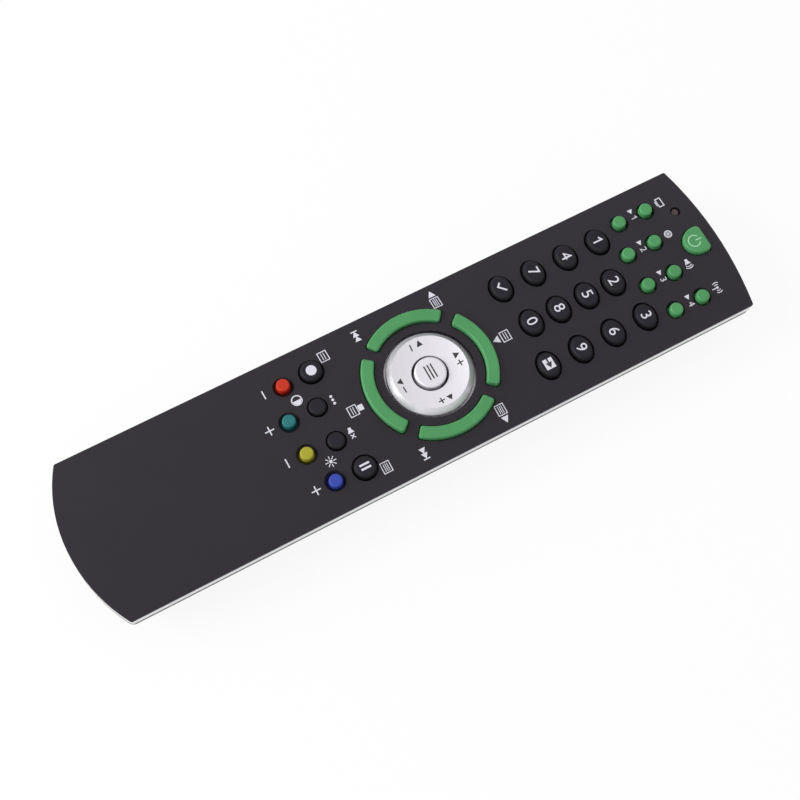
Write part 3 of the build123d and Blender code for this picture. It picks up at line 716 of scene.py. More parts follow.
@dataclass
class Sketcher:
    """Draws flat marks in the air over the remote, in millimetres round one middle point."""

    x: float
    y: float
    level: float = 22.0
    dot_corners: int = 40
    ring_corners: int = 72
    sign_stroke: float = 0.36
    page_width: float = 3.4
    page_height: float = 2.9
    page_border: float = 0.27
    text_width: float = 2.3
    text_height: float = 2.2
    text_stroke: float = 0.22
    arrow_size: float = 1.15
    skip_places: tuple[float, float, float] = (-1.0, 0.55, 1.75)
    skip_bar: float = 2.0
    magnet_width: float = 0.7
    magnet_height: float = 0.9
    digit_steps: int = 5
    digit_breadth: float = 1.06
    one_shares: tuple[Point, ...] = ((-0.27, 0.17), (0.06, 0.37), (0.06, -0.5))
    one_stroke_share: float = 0.145
    mitre_limit: float = 0.4
    shapes: list[Piece] = field(default_factory=list)

    @classmethod
    def over(cls, node: str, x: float = 0.0, y: float = 0.0) -> "Sketcher":
        """Start over the middle of a CAD node, or at an offset from it."""
        spot = middle(node)
        return cls(spot.x / MM + x, spot.y / MM + y)

    def spot(self, x: float, y: float) -> Place:
        """Place in metres of a point given in millimetres from the sketch's middle."""
        return ((self.x + x) * MM, (self.y + y) * MM, self.level * MM)

    def keep(self) -> None:
        """Take the active object into the sketch, with its place in its mesh."""
        self.shapes.append(settle())

    def hollow(self, stroke: float) -> None:
        """Leave only a border of the active shape."""
        with editing():
            bpy.ops.mesh.inset(thickness=stroke * MM, depth=0.0)
            bpy.ops.mesh.delete(type="FACE")

    def circle(self, radius: float, x: float, y: float, corners: int) -> None:
        """Add a filled circle, which isn't kept yet.

        Args:
            radius: its radius.
            x: its middle across.
            y: its middle along.
            corners: how many corners it has.
        """
        start_piece()
        bpy.ops.mesh.primitive_circle_add(
            vertices=corners, radius=radius * MM, fill_type="NGON", location=self.spot(x, y)
        )

    def bar(self, width: float, height: float, x: float = 0.0, y: float = 0.0, turn: float = 0.0) -> None:
        """Draw a filled bar.

        Args:
            width: its width before it is turned.
            height: its height before it is turned.
            x: its middle across.
            y: its middle along.
            turn: its turn in degrees.
        """
        start_piece()
        bpy.ops.mesh.primitive_plane_add(size=MM, location=self.spot(x, y))
        bpy.context.object.scale = (width, height, 1.0)
        bpy.context.object.rotation_euler.z = math.radians(turn)
        self.keep()

    def border(self, width: float, height: float, stroke: float, x: float = 0.0, y: float = 0.0) -> None:
        """Draw an open rectangle.

        Args:
            width: its outer width.
            height: its outer height.
            stroke: the width of its line.
            x: its middle across.
            y: its middle along.
        """
        self.bar(width, height, x, y)
        self.hollow(stroke)

    def dot(self, radius: float, x: float = 0.0, y: float = 0.0) -> None:
        """Draw a filled dot."""
        self.circle(radius, x, y, self.dot_corners)
        self.keep()

    def half_dot(self, radius: float) -> None:
        """Draw the right half of a dot round the middle.

        Args:
            radius: its radius.
        """
        self.circle(radius, 0.0, 0.0, self.dot_corners)
        with editing():
            bpy.ops.mesh.bisect(
                plane_co=self.spot(0.0, 0.0), plane_no=(1.0, 0.0, 0.0), clear_inner=True, clear_outer=False
            )
        self.keep()

    def triangle(self, radius: float, pointing: Pointing, x: float = 0.0, y: float = 0.0) -> None:
        """Draw a filled triangle.

        Args:
            radius: from its middle to its tip.
            pointing: where its tip is. A new one points up.
            x: its middle across.
            y: its middle along.
        """
        self.circle(radius, x, y, corners=3)
        bpy.context.object.rotation_euler.z = math.radians(pointing.value - Pointing.UP.value)
        self.keep()

    def ring(
        self,
        radius: float,
        stroke: float,
        x: float = 0.0,
        y: float = 0.0,
        gap: float = 0.0,
        gap_side: Pointing = Pointing.UP,
    ) -> None:
        """Draw a ring, whole or with a gap.

        Args:
            radius: its outer radius.
            stroke: the width of its line.
            x: its middle across.
            y: its middle along.
            gap: the angle left open, in degrees.
            gap_side: where the gap's middle is.
        """
        self.circle(radius, x, y, self.ring_corners)
        self.hollow(stroke)

        def in_gap(face: bmesh.types.BMFace) -> bool:
            """Say whether a face lies in the gap."""
            spot = face.calc_center_median()
            turn = math.degrees(math.atan2(spot.y, spot.x)) - gap_side.value
            return abs((turn + 180.0) % 360.0 - 180.0) < gap / 2

        if gap > 0.0:
            with editing():
                select_faces(bpy.context.object, in_gap)
                bpy.ops.mesh.delete(type="FACE")
        self.keep()

    def ribbon_sides(self, points: list[Point], width: float) -> list[tuple[Vector, Vector]]:
        """Work out both sides of a bent line at each of its corners.

        Args:
            points: its corners.
            width: its width.

        Returns:
            The left and right side's point at each corner.
        """
        path = [Vector(point) for point in points]
        sides = []
        for number, point in enumerate(path):
            before = (point - path[number - 1]).normalized() if number else None
            after = (path[number + 1] - point).normalized() if number + 1 < len(path) else None
            along = ((before or after) + (after or before)).normalized()
            across = Vector((-along.y, along.x))
            leg = after or before
            reach = width / 2 / max(self.mitre_limit, across.dot(Vector((-leg.y, leg.x))))
            sides.append((point + across * reach, point - across * reach))
        return sides

    def ribbon(self, points: list[Point], width: float) -> None:
        """Draw a bent line of even width, by extruding its end edge from corner to corner.

        Args:
            points: its corners.
            width: its width.
        """
        start_piece()
        sides = self.ribbon_sides(points, width)
        bpy.ops.mesh.primitive_plane_add(size=MM, location=(0.0, 0.0, 0.0))
        shape = bpy.context.object
        with editing():
            mesh = bmesh.from_edit_mesh(shape.data)
            corners = list(mesh.faces[:][0].verts)
            for vert, spot in zip(corners, (*sides[0], *reversed(sides[1]))):
                vert.co = self.spot(spot.x, spot.y)
            end = [corners[3], corners[2]]
            for side in sides[2:]:
                for vert in mesh.verts:
                    vert.select = vert in end
                mesh.select_flush_mode()
                for edge in mesh.edges:
                    edge.select = all(vert in end for vert in edge.verts)
                bmesh.update_edit_mesh(shape.data)
                left = end[0].co.copy()
                bpy.ops.mesh.extrude_edges_move()
                mesh = bmesh.from_edit_mesh(shape.data)
                end = sorted((v for v in mesh.verts if v.select), key=lambda v: (v.co - left).length)
                for vert, spot in zip(end, side):
                    vert.co = self.spot(spot.x, spot.y)
            bmesh.update_edit_mesh(shape.data)
            bpy.ops.mesh.select_all(action="SELECT")
            bpy.ops.mesh.normals_make_consistent(inside=False)
        self.keep()

    def figure(self, text: str, height: float, x: float = 0.0) -> None:
        """Write a plain digit. The one is drawn with its flag, out of one bent line.

        Args:
            text: the digit.
            height: how tall it is.
            x: its middle across.
        """
        if text == "1":
            flag = [(x + across * height, along * height) for across, along in self.one_shares]
            self.ribbon(flag, self.one_stroke_share * height)
            return
        start_piece()
        bpy.ops.object.text_add(location=(0.0, 0.0, 0.0))
        words = bpy.context.object.data
        words.body = text
        words.resolution_u = self.digit_steps
        bpy.ops.object.convert(target="MESH")
        shape = bpy.context.object
        spots = [vert.co for vert in shape.data.vertices]
        low = Vector((min(s.x for s in spots), min(s.y for s in spots), 0.0))
        high = Vector((max(s.x for s in spots), max(s.y for s in spots), 0.0))
        size = height * MM / (high.y - low.y)
        shape.data.transform(Matrix.Translation(-(low + high) / 2))
        shape.scale = (size * self.digit_breadth, size, size)
        shape.location = self.spot(x, 0.0)
        self.keep()

    def page(self, x: float = 0.0, y: float = 0.0, lines: int = 3) -> None:
        """Draw a small page.

        Args:
            x: its middle across.
            y: its middle along.
            lines: how many lines are on it.
        """
        self.border(self.page_width, self.page_height, self.page_border, x, y)
        pitch = self.text_height / (lines + 1)
        for number in range(1, lines + 1):
            self.bar(self.text_width, self.text_stroke, x, y + self.text_height / 2 - number * pitch)

    def skip(self, side: int, x: float, y: float) -> None:
        """Draw a skip sign: two triangles and a bar.

        Args:
            side: 1 to skip on, -1 to skip back.
            x: its middle across.
            y: its middle along.
        """
        pointing = Pointing.RIGHT if side > 0 else Pointing.LEFT
        *arrows, bar = self.skip_places
        for place in arrows:
            self.triangle(self.arrow_size, pointing, x + side * place, y)
        self.bar(self.sign_stroke, self.skip_bar, x + side * bar, y)

    def speaker(self, x: float) -> None:
        """Draw a loudspeaker: a small block and a cone."""
        self.bar(self.magnet_width, self.magnet_height, x - self.magnet_width)
        self.triangle(self.arrow_size, Pointing.LEFT, x)

    def minus(self, size: float, x: float = 0.0, y: float = 0.0) -> None:
        """Draw a minus sign."""
        self.bar(size, self.sign_stroke, x, y)

    def plus(self, size: float, x: float = 0.0, y: float = 0.0) -> None:
        """Draw a plus sign out of a bar and two stubs.

        Args:
            size: its width and height.
            x: its middle across.
            y: its middle along.
        """
        stub = (size - self.sign_stroke) / 2
        self.minus(size, x, y)
        for side in (-1, 1):
            self.bar(self.sign_stroke, stub, x, y + side * (self.sign_stroke + stub) / 2)


@dataclass
class Print:
    """One printed piece: flat shapes laid on the CAD node that carries them, in millimetres."""

    name: str
    body: str
    carrier: str
    slot: str
    finishes: Finishes
    thickness: float = 0.04
    proud: float = 0.02

    def lay(self, sketches: list[Sketcher]) -> None:
        """Join the sketches, drop them on the carrier and give them their thickness.

        Args:
            sketches: the sketches that make up the print.
        """
        piece = join_pieces([shape for sketch in sketches for shape in sketch.shapes], self.name)
        wrap = piece.modifiers.new("lay", "SHRINKWRAP")
        wrap.target = bpy.data.objects[self.carrier]
        wrap.wrap_method = "PROJECT"
        wrap.use_project_z = True
        wrap.use_negative_direction = True
        wrap.use_positive_direction = False
        wrap.offset = self.proud * MM
        thick = piece.modifiers.new("thickness", "SOLIDIFY")
        thick.thickness = self.thickness * MM
        thick.offset = -1.0
        for modifier in list(piece.modifiers):
            bpy.ops.object.modifier_apply(modifier=modifier.name)
        dress(piece, self.finishes.inks[self.slot])
        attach(piece, self.body)
        LOG.info("print %s on %s: %d faces", self.name, self.carrier, len(piece.data.polygons))


# Sub-assemblies.


@dataclass
class PlateFront:
    """Face plate with its printed marks, in millimetres from the keys that they stand by."""

    finishes: Finishes
    label: Point = (-0.5, 5.35)
    label_height: float = 2.0
    waves: tuple[Point, ...] = ((1.35, 260.0), (1.95, 270.0))
    mast_waves: tuple[Point, ...] = ((1.05, 280.0), (1.75, 290.0))
    mast_top: float = 0.45
    corner_page: Point = (18.9, 12.6)
    corner_arrow: float = 21.75
    corner_skip: Point = (20.1, -13.2)
    end_page: float = 25.1
    plain_label: float = 4.9
    dot_pitch: float = 1.15
    pause_page: Point = (2.6, 5.4)
    record_page: Point = (-2.8, 5.4)
    colour_label: Point = (4.9, 5.0)
    level_label: Point = (-0.2, -6.0)
    level_size: float = 2.8
    sun_rays: int = 8
    sun_orbit: float = 1.2
    cross_offset: float = -0.1

    def build(self) -> None:
        """Dress the plate and print its marks."""
        dress_nodes({"face_plate": self.finishes.plate})
        for name, sketches in (
            ("print_device_signs", self.device_signs()),
            ("print_extra_numbers", self.extra_numbers()),
            ("print_ring_signs", self.ring_signs()),
            ("print_sound_signs", self.sound_signs()),
            ("print_picture_signs", self.picture_signs()),
        ):
            Print(name, "case", "face_plate", "print_white", self.finishes).lay(sketches)

    def device_signs(self) -> list[Sketcher]:
        """Four plain pictograms over the first row of small keys.

        Returns:
            The sketches: a screen, a record, a speaker and a mast.
        """
        labels = [Sketcher.over(f"key_device_{number}", *self.label) for number in range(1, 5)]
        screen, record, speaker, mast = labels
        screen.border(width=3.2, height=1.9, stroke=0.34, y=0.25)
        screen.bar(width=1.7, height=0.3, y=-0.98)
        record.ring(radius=1.25, stroke=0.34)
        record.dot(radius=0.38)
        record.ring(radius=0.75, stroke=0.16)
        speaker.speaker(x=-0.55)
        for radius, gap in self.waves:
            speaker.ring(radius, stroke=0.28, x=-0.35, gap=gap, gap_side=Pointing.LEFT)
        mast.dot(radius=0.4, y=self.mast_top)
        mast.bar(width=0.3, height=1.7, y=-0.55)
        for side in (Pointing.RIGHT, Pointing.LEFT):
            for radius, gap in self.mast_waves:
                mast.ring(radius, stroke=0.26, y=self.mast_top, gap=gap, gap_side=side)
        return labels

    def extra_numbers(self) -> list[Sketcher]:
        """Plain numbers over the second row of small keys.

        Returns:
            The sketches.
        """
        labels = []
        for number in range(1, 5):
            label = Sketcher.over(f"key_extra_{number}", *self.label)
            label.triangle(radius=1.0, pointing=Pointing.RIGHT, x=-1.6)
            label.figure(str(number), self.label_height, x=0.9)
            labels.append(label)
        return labels

    def ring_signs(self) -> list[Sketcher]:
        """Signs round the ring of arc keys.

        Returns:
            The sketches.
        """
        ring = Sketcher.over("disc")
        page_x, page_y = self.corner_page
        skip_x, skip_y = self.corner_skip
        for side, pointing in ((-1, Pointing.LEFT), (1, Pointing.RIGHT)):
            ring.page(side * page_x, page_y)
            ring.triangle(radius=1.35, pointing=pointing, x=side * self.corner_arrow, y=page_y)
            ring.skip(side, side * skip_x, skip_y)
        ring.page(y=self.end_page, lines=2)
        ring.triangle(radius=1.4, pointing=Pointing.DOWN, y=22.3)
        ring.page(y=-self.end_page, lines=2)
        ring.bar(width=1.8, height=1.6, y=-22.7)
        return [ring]

    def sound_signs(self) -> list[Sketcher]:
        """Three dots, a crossed speaker, and a page by the pause key and by the record key.

        Returns:
            The sketches.
        """
        dots = Sketcher.over("key_plain_left", y=self.plain_label)
        for number in (-1, 0, 1):
            dots.dot(radius=0.42, x=number * self.dot_pitch)
        speaker = Sketcher.over("key_plain_right", x=self.cross_offset, y=self.plain_label)
        speaker.speaker(x=-0.65)
        for turn in (45.0, -45.0):
            speaker.bar(width=1.7, height=0.3, x=1.0, turn=turn)
        page = Sketcher.over("key_pause", *self.pause_page)
        page.page()
        folded = Sketcher.over("key_record", *self.record_page)
        folded.page(lines=2)
        return [dots, speaker, page, folded]

    def picture_signs(self) -> list[Sketcher]:
        """Contrast, brightness, plus and minus signs round the coloured keys.

        Returns:
            The sketches.
        """
        label_x, label_y = self.colour_label
        contrast = Sketcher.over("key_teal", -label_x, label_y)
        contrast.ring(radius=1.65, stroke=0.35)
        contrast.half_dot(radius=1.45)
        sun = Sketcher.over("key_yellow", label_x, label_y)
        sun.dot(radius=0.5)
        for number in range(self.sun_rays):
            degrees = number * 360.0 / self.sun_rays
            turn = math.radians(degrees)
            x, y = math.cos(turn) * self.sun_orbit, math.sin(turn) * self.sun_orbit
            sun.bar(width=0.95, height=0.25, x=x, y=y, turn=degrees)
        levels = [
            Sketcher.over(f"key_{name}", *self.level_label) for name in ("red", "teal", "yellow", "blue")
        ]
        for number, level in enumerate(levels):
            draw = level.plus if number % 2 else level.minus
            draw(self.level_size)
        return [contrast, sun, *levels]


@dataclass
class Keypad:
    """Rubber keys in the plate, with the marks on their tops, in millimetres."""

    finishes: Finishes
    green_keys: tuple[str, ...] = ("key_device", "key_extra", "key_arc", "key_power")
    digit_height: float = 3.3
    tick: tuple[Point, ...] = ((-1.5, 0.1), (-0.45, -0.95), (1.55, 1.05))
    tick_stroke: float = 0.5
    pause_side: float = 0.62
    arrow_proud: float = 0.045

    def build(self) -> None:
        """Dress the keys and print on them."""
        keys = [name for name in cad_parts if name.startswith("key_") and name != "key_menu"]
        dress_nodes({name: self.rubber(name) for name in keys})
        for digit in "0123456789":
            sketch = Sketcher.over(f"key_{digit}")
            sketch.figure(digit, self.digit_height)
            self.print_on(f"key_{digit}", sketch)
        tick = Sketcher.over("key_confirm")
        tick.ribbon(list(self.tick), self.tick_stroke)
        self.print_on("key_confirm", tick)
        self.input_mark()
        power = Sketcher.over("key_power")
        power.ring(radius=2.0, stroke=0.34, y=-0.4, gap=60.0)
        power.bar(width=0.34, height=2.1, y=1.05)
        self.print_on("key_power", power, "print_pale")
        record = Sketcher.over("key_record")
        record.dot(radius=1.55)
        self.print_on("key_record", record)
        pause = Sketcher.over("key_pause")
        for side in (-1, 1):
            pause.bar(width=0.6, height=3.0, x=side * self.pause_side)
        self.print_on("key_pause", pause)

    def rubber(self, key: str) -> Material:
        """Choose the rubber of a key."""
        plain = self.finishes.green if key.startswith(self.green_keys) else self.finishes.dark
        return self.finishes.colours.get(key, plain)

    def print_on(self, key: str, sketch: Sketcher, slot: str = "print_white") -> None:
        """Lay a mark on a key."""
        Print(f"print_{key}", key, key, slot, self.finishes).lay([sketch])

    def input_mark(self) -> None:
        """Print a filled box with a dark arrow over it on the input key."""
        box = Sketcher.over("key_input")
        box.bar(width=3.3, height=3.0)
        self.print_on("key_input", box)
        arrow = Sketcher.over("key_input")
        arrow.bar(width=1.3, height=0.5, x=-1.05)
        arrow.triangle(radius=1.15, pointing=Pointing.RIGHT, x=0.2)
        Print(
            "print_input_arrow", "key_input", "key_input", "print_dark", self.finishes, proud=self.arrow_proud
        ).lay([arrow])


@dataclass
class NavigationDisc:
    """Silver rocking disc, its hub and the menu key in its middle, in millimetres."""

    finishes: Finishes
    sign_orbit: float = 9.1
    sign_gap: float = 1.35
    arrow_size: float = 1.15
    level_size: float = 2.0
    menu_width: float = 4.6
    menu_stroke: float = 0.42
    menu_pitch: float = 1.05

    def build(self) -> None:
        """Dress the disc and the menu key and print on them."""
        silver = self.finishes.silver
        dress_nodes({"disc": silver, "key_menu": silver, "disc_hub": self.finishes.mat})
        signs = Sketcher.over("disc")
        orbit, gap = self.sign_orbit, self.sign_gap
        signs.triangle(self.arrow_size, Pointing.UP, -gap, orbit)
        signs.plus(self.level_size, gap, orbit)
        signs.triangle(self.arrow_size, Pointing.DOWN, -gap, -orbit)
        signs.minus(self.level_size, gap, -orbit)
        signs.triangle(self.arrow_size, Pointing.LEFT, -orbit, gap)
        signs.minus(self.level_size, -orbit, -gap)
        signs.triangle(self.arrow_size, Pointing.RIGHT, orbit, gap)
        signs.plus(self.level_size, orbit, -gap)
        Print("print_disc_signs", "disc", "disc", "print_dark", self.finishes).lay([signs])
        menu = Sketcher.over("disc")
        for number in (-1, 0, 1):
            menu.bar(self.menu_width, self.menu_stroke, y=number * self.menu_pitch)
        Print("print_key_menu", "key_menu", "key_menu", "print_dark", self.finishes).lay([menu])


@dataclass
class CaseBack:
    """Trim, lower shell, cover, window and status light."""

    finishes: Finishes

    def build(self) -> None:
        """Dress the case's own parts."""
        dress_nodes(
            {
                "side_trim": self.finishes.trim,
                "lower_shell": self.finishes.shell,
                "battery_cover": self.finishes.shell,
                "ir_window": self.finishes.window,
                "status_light": self.finishes.red_lens,
            }
        )


@dataclass
class WoundSpring:
    """Conical battery spring of round wire, in millimetres."""

    wire_radius: float = 0.25
    wire_corners: int = 8
    wide_radius: float = 2.75
    narrow_radius: float = 1.65
    length: float = 4.2
    turns: int = 5
    turn_steps: int = 20

    def wind(self, foot: Vector, toward: int) -> Piece:
        """Wind the spring from its foot.

        Args:
            foot: the middle of its wide end, in metres.
            toward: 1 if it points toward the top end of the remote, -1 if it points away.

        Returns:
            The spring.
        """
        start_piece()
        bpy.ops.mesh.primitive_circle_add(vertices=self.wire_corners, radius=self.wire_radius * MM)
        coil = bpy.context.object
        coil.rotation_euler = (QUARTER_TURN, 0.0, 0.0)
        coil.location = (self.wide_radius * MM, 0.0, self.wire_radius * MM)
        settle()
        turn = coil.modifiers.new("turns", "SCREW")
        turn.axis = "Z"
        turn.steps = turn.render_steps = self.turn_steps
        turn.iterations = self.turns
        turn.screw_offset = (self.length - 2 * self.wire_radius) * MM / self.turns
        bpy.ops.object.modifier_apply(modifier=turn.name)
        with editing():
            bpy.ops.mesh.fill_holes(sides=self.wire_corners)
            bpy.ops.mesh.select_all(action="SELECT")
            bpy.ops.mesh.normals_make_consistent(inside=False)
        loss = 1.0 - self.narrow_radius / self.wide_radius
        for vert in coil.data.vertices:
            share = 1.0 - loss * vert.co.z / (self.length * MM)
            vert.co.x *= share
            vert.co.y *= share
        coil.rotation_euler = (-QUARTER_TURN * toward, 0.0, 0.0)
        coil.location = foot
        settle()
        bpy.ops.object.shade_smooth()
        return coil


@dataclass
class Contacts:
    """Sprung battery contacts, bent from sheet, with their wound springs, in millimetres."""

    finishes: Finishes
    sheet: float = 0.4
    rise: float = 4.0
    tail_width: float = 2.0
    width: float = 8.4
    rounding: float = 0.12
    spring: WoundSpring = field(default_factory=WoundSpring)

    def build(self) -> None:
        """Make both sprung contacts."""
        self.finish(self.top_contact(), "contact_negative")
        self.finish(self.bottom_contact(), "contact_bridge")

    def finish(self, pieces: list[Piece], node: str) -> None:
        """Join, dress and place one contact.

        Args:
            pieces: its sheets and spring.
            node: the CAD node that it stands for.
        """
        contact = join_pieces(pieces, f"wound_{node}")
        dress(contact, self.finishes.steel)
        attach(contact, "case")
        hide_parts(node)
        LOG.info("contact %s: %d faces", node, len(contact.data.polygons))

    def sheet_piece(self, low: Vector | Place, high: Place) -> Piece:
        """Cut one rounded sheet between two corners, in metres."""
        return box_piece(Vector(low), Vector(high), self.rounding * MM)

    def top_contact(self) -> list[Piece]:
        """Contact at the top end of the bay, with its tail under the board.

        Returns:
            Its plate, its tail and its spring.
        """
        low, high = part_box("contact_negative")
        board_low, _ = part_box("circuit_board")
        middle_x = (low.x + high.x) / 2
        face_y = low.y + self.spring.length * MM
        sheet = self.sheet * MM
        side = self.tail_width / 2 * MM
        plate = self.sheet_piece((low.x, face_y, low.z), (high.x, face_y + sheet, high.z))
        tail = self.sheet_piece(
            (middle_x - side, face_y + sheet / 2, board_low.z - sheet), (middle_x + side, high.y, board_low.z)
        )
        coil = self.spring.wind(Vector((middle_x, face_y, high.z - self.rise * MM)), -1)
        return [plate, tail, coil]

    def bottom_contact(self) -> list[Piece]:
        """Contact that joins both cells at the bottom end, with its spring on the left.

        Returns:
            Its plate and its spring.
        """
        low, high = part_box("contact_bridge")
        face_y = low.y + self.sheet * MM
        plate = self.sheet_piece(low, (high.x, face_y, high.z))
        foot = Vector((low.x + self.width / 2 * MM, face_y, high.z - self.rise * MM))
        return [plate, self.spring.wind(foot, 1)]


@dataclass
class CaseScrews:
    """Two cross-headed screws in the back, in millimetres."""

    finishes: Finishes
    head_radius: float = 2.6
    head_height: float = 1.8
    head_corners: int = 40
    head_dome: float = 0.5
    dome_steps: int = 4
    shaft_radius: float = 1.1
    tip_share: float = 0.12
    tip_taper: float = 0.3
    cross_width: float = 0.75
    cross_reach: float = 1.5
    cross_depth: float = 1.0
    cross_rounding: float = 0.05
    crease: float = 35.0
    upward: float = 0.9
    near: float = 0.001

    def build(self) -> None:
        """Make both screws as one piece that stands for the CAD node."""
        low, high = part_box("case_screws")
        spots = (low.y + self.head_radius * MM, high.y - self.head_radius * MM)
        screws = [self.screw(Vector((0.0, y, low.z)), high.z) for y in spots]
        piece = join_pieces(screws, "cross_headed_screws")
        dress(piece, self.finishes.screw)
        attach(piece, "case")
        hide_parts("case_screws")
        LOG.info("case screws: %d faces", len(piece.data.polygons))

    def screw(self, foot: Vector, tip: float) -> Piece:
        """Make one screw, head down.

        Args:
            foot: the middle of its head's outer face, in metres.
            tip: the height of its tip, in metres.

        Returns:
            The screw.
        """
        start_piece()
        head_top = foot.z + self.head_height * MM
        bpy.ops.mesh.primitive_cylinder_add(
            vertices=self.head_corners,
            radius=self.head_radius * MM,
            depth=self.head_height * MM,
            location=(foot.x, foot.y, (foot.z + head_top) / 2),
        )
        screw = settle()
        with editing():
            select_faces(screw, lambda face: face.normal.z > self.upward)
            bpy.ops.mesh.inset(thickness=(self.head_radius - self.shaft_radius) * MM, depth=0.0)
            for share in (1.0 - self.tip_share, self.tip_share):
                step = (0.0, 0.0, (tip - head_top) * share)
                bpy.ops.mesh.extrude_region_move(TRANSFORM_OT_translate={"value": step})
            taper = (self.tip_taper, self.tip_taper, 1.0)
            bpy.ops.transform.resize(value=taper, center_override=(foot.x, foot.y, tip))
            mesh = bmesh.from_edit_mesh(screw.data)
            for edge in mesh.edges:
                edge.select = all(abs(vert.co.z - foot.z) < self.near * MM for vert in edge.verts)
            bmesh.update_edit_mesh(screw.data)
            bpy.ops.mesh.bevel(offset=self.head_dome * MM, segments=self.dome_steps, affect="EDGES")
        across = self.cross_width / 2
        for wide, deep in ((self.cross_reach, across), (across, self.cross_reach)):
            self.cut(screw, foot, Vector((wide, deep, self.cross_depth)) * MM)
        bpy.ops.object.shade_smooth_by_angle(angle=math.radians(self.crease))
        return screw

    def cut(self, screw: Piece, foot: Vector, reach: Vector) -> None:
        """Cut one slot of the cross.

        Args:
            screw: the screw.
            foot: the middle of its head's outer face, in metres.
            reach: half the slot's size, in metres.
        """
        cutter = box_piece(foot - reach, foot + reach, self.cross_rounding * MM)
        cut = screw.modifiers.new("cross", "BOOLEAN")
        cut.operation = "DIFFERENCE"
        cut.object = cutter
        choose([screw])
        bpy.ops.object.modifier_apply(modifier=cut.name)
        bpy.data.objects.remove(cutter, do_unlink=True)


@dataclass
class Inside:
    """What the case holds: board, mat, emitter, cells and the plain contact, in millimetres."""

    finishes: Finishes
    band_width: float = 12.0
    band_blur: float = 0.2

    def build(self) -> None:
        """Dress the parts inside."""
        looks = {
            "keypad_mat": self.finishes.mat,
            "circuit_board": self.finishes.board,
            "controller_chip": self.finishes.resin,
            "crystal": self.finishes.can,
            "capacitor": self.finishes.sleeve,
            "ir_emitter": self.finishes.emitter,
            "contact_positive": self.finishes.steel,
        }
        for name, side in (("cell_left", 1), ("cell_right", -1)):
            low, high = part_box(name)
            end = high.y if side > 0 else low.y
            edge = end - side * self.band_width * MM
            blur = side * self.band_blur * MM
            looks[name] = CellWrapFinish(f"wrap_{name}", edge - blur, edge + blur).build()
        dress_nodes(looks)


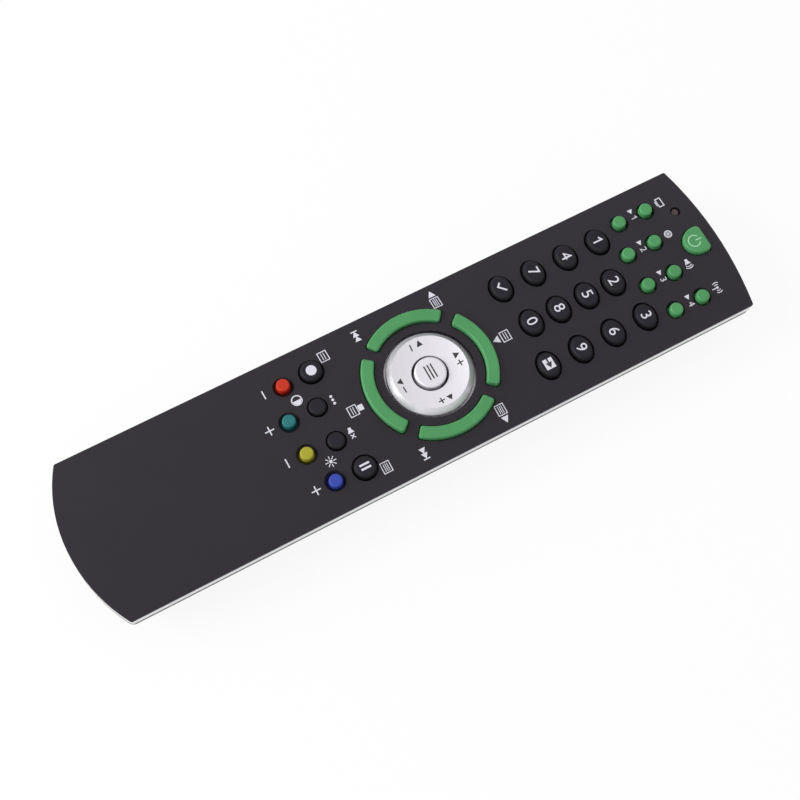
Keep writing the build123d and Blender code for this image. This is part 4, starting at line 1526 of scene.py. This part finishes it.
@dataclass
class Studio:
    """Pale floor, soft light and the camera, in metres."""

    camera_place: Vector = field(default_factory=lambda: Vector((0.122566, -0.096960, 0.409272)))
    camera_right: Vector = field(default_factory=lambda: Vector((0.4825053, 0.8739200, 0.0587573)))
    camera_down: Vector = field(default_factory=lambda: Vector((0.8284131, -0.4335354, -0.3546529)))
    focal_pixels: float = 1476.0
    image_pixels: float = 800.0
    film_width: float = 36.0
    floor_size: float = 6.0
    floor_glow: float = 0.9
    paper: Pattern = Pattern(6.0)
    paper_tone: Colour = (0.955, 0.955, 0.955)
    paper_light_tone: Colour = (0.965, 0.965, 0.965)
    lamp_place: Vector = field(default_factory=lambda: Vector((-0.40, -0.95, 0.58)))
    lamp_size: float = 0.8
    lamp_energy: float = 12.0
    air_level: float = 0.6

    def build(self) -> None:
        """Make the floor, the lamp, the world and the camera."""
        self.build_floor()
        self.build_light()
        self.build_world()
        self.build_camera()
        LOG.info("studio ready")

    def build_floor(self) -> None:
        """Lay the floor, which glows white where the camera or a reflection sees it."""
        start_piece()
        bpy.ops.mesh.primitive_plane_add(size=self.floor_size, location=(0.0, 0.0, 0.0))
        floor = bpy.context.object
        floor.name = "studio_floor"
        desk = FinishDesk("floor_paper", {"Roughness": 0.9, "Specular IOR Level": 0.0})
        desk.feed("Base Color", desk.mix(desk.share(self.paper), self.paper_tone, self.paper_light_tone))
        glow = desk.add("ShaderNodeEmission")
        blend = desk.add("ShaderNodeMixShader")
        looks = (
            desk.spread(background_share(desk.tree), 0.0, self.floor_glow, 0.0, 1.0),
            desk.shader.outputs[0],
            glow.outputs[0],
        )
        for source, target in zip(looks, blend.inputs):
            desk.wire(source, target)
        desk.wire(blend.outputs[0], desk.tree.nodes["Material Output"].inputs["Surface"])
        dress(floor, desk.material)

    def build_light(self) -> None:
        """Hang one large soft lamp low, past the left of the picture."""
        bpy.ops.object.light_add(type="AREA", location=self.lamp_place)
        lamp = bpy.context.object
        lamp.name = "soft_lamp"
        lamp.data.shape = "SQUARE"
        lamp.data.size = self.lamp_size
        lamp.data.energy = self.lamp_energy
        lamp.rotation_euler = (-lamp.location).to_track_quat("-Z", "Y").to_euler()

    def build_world(self) -> None:
        """Light everything evenly, with white behind what the camera and reflections see."""
        world = bpy.data.worlds.new("studio_air")
        bpy.context.scene.world = world
        world.use_nodes = True
        nodes, links = world.node_tree.nodes, world.node_tree.links
        air = nodes["Background"]
        air.inputs["Color"].default_value = (1.0, 1.0, 1.0, 1.0)
        level = nodes.new("ShaderNodeMapRange")
        level.inputs["To Min"].default_value = self.air_level
        links.new(background_share(world.node_tree), level.inputs["Value"])
        links.new(level.outputs["Result"], air.inputs["Strength"])

    def build_camera(self) -> None:
        """Set the camera where the photograph was taken from."""
        back = self.camera_right.cross(-self.camera_down).normalized()
        columns = (self.camera_right.normalized(), -self.camera_down.normalized(), back)
        turn = Matrix([[column[row] for column in columns] for row in range(3)]).to_4x4()
        data = bpy.data.cameras.new("photo_camera")
        camera = bpy.data.objects.new("photo_camera", data)
        bpy.context.scene.collection.objects.link(camera)
        data.sensor_fit = "HORIZONTAL"
        data.sensor_width = self.film_width
        data.lens = self.focal_pixels / self.image_pixels * self.film_width
        camera.matrix_world = Matrix.Translation(self.camera_place) @ turn
        bpy.context.scene.camera = camera
        bpy.context.scene.view_settings.view_transform = "Standard"


def main() -> None:
    """Build every sub-assembly in order."""
    logging.basicConfig(level=logging.INFO, format="%(message)s")
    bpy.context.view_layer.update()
    finishes = Finishes(middle("disc"), middle("status_light"))
    for assembly in (
        PlateFront(finishes),
        Keypad(finishes),
        NavigationDisc(finishes),
        CaseBack(finishes),
        CaseScrews(finishes),
        Contacts(finishes),
        Inside(finishes),
        Studio(),
    ):
        assembly.build()
    start_piece()


if __name__ == "__main__":
    main()
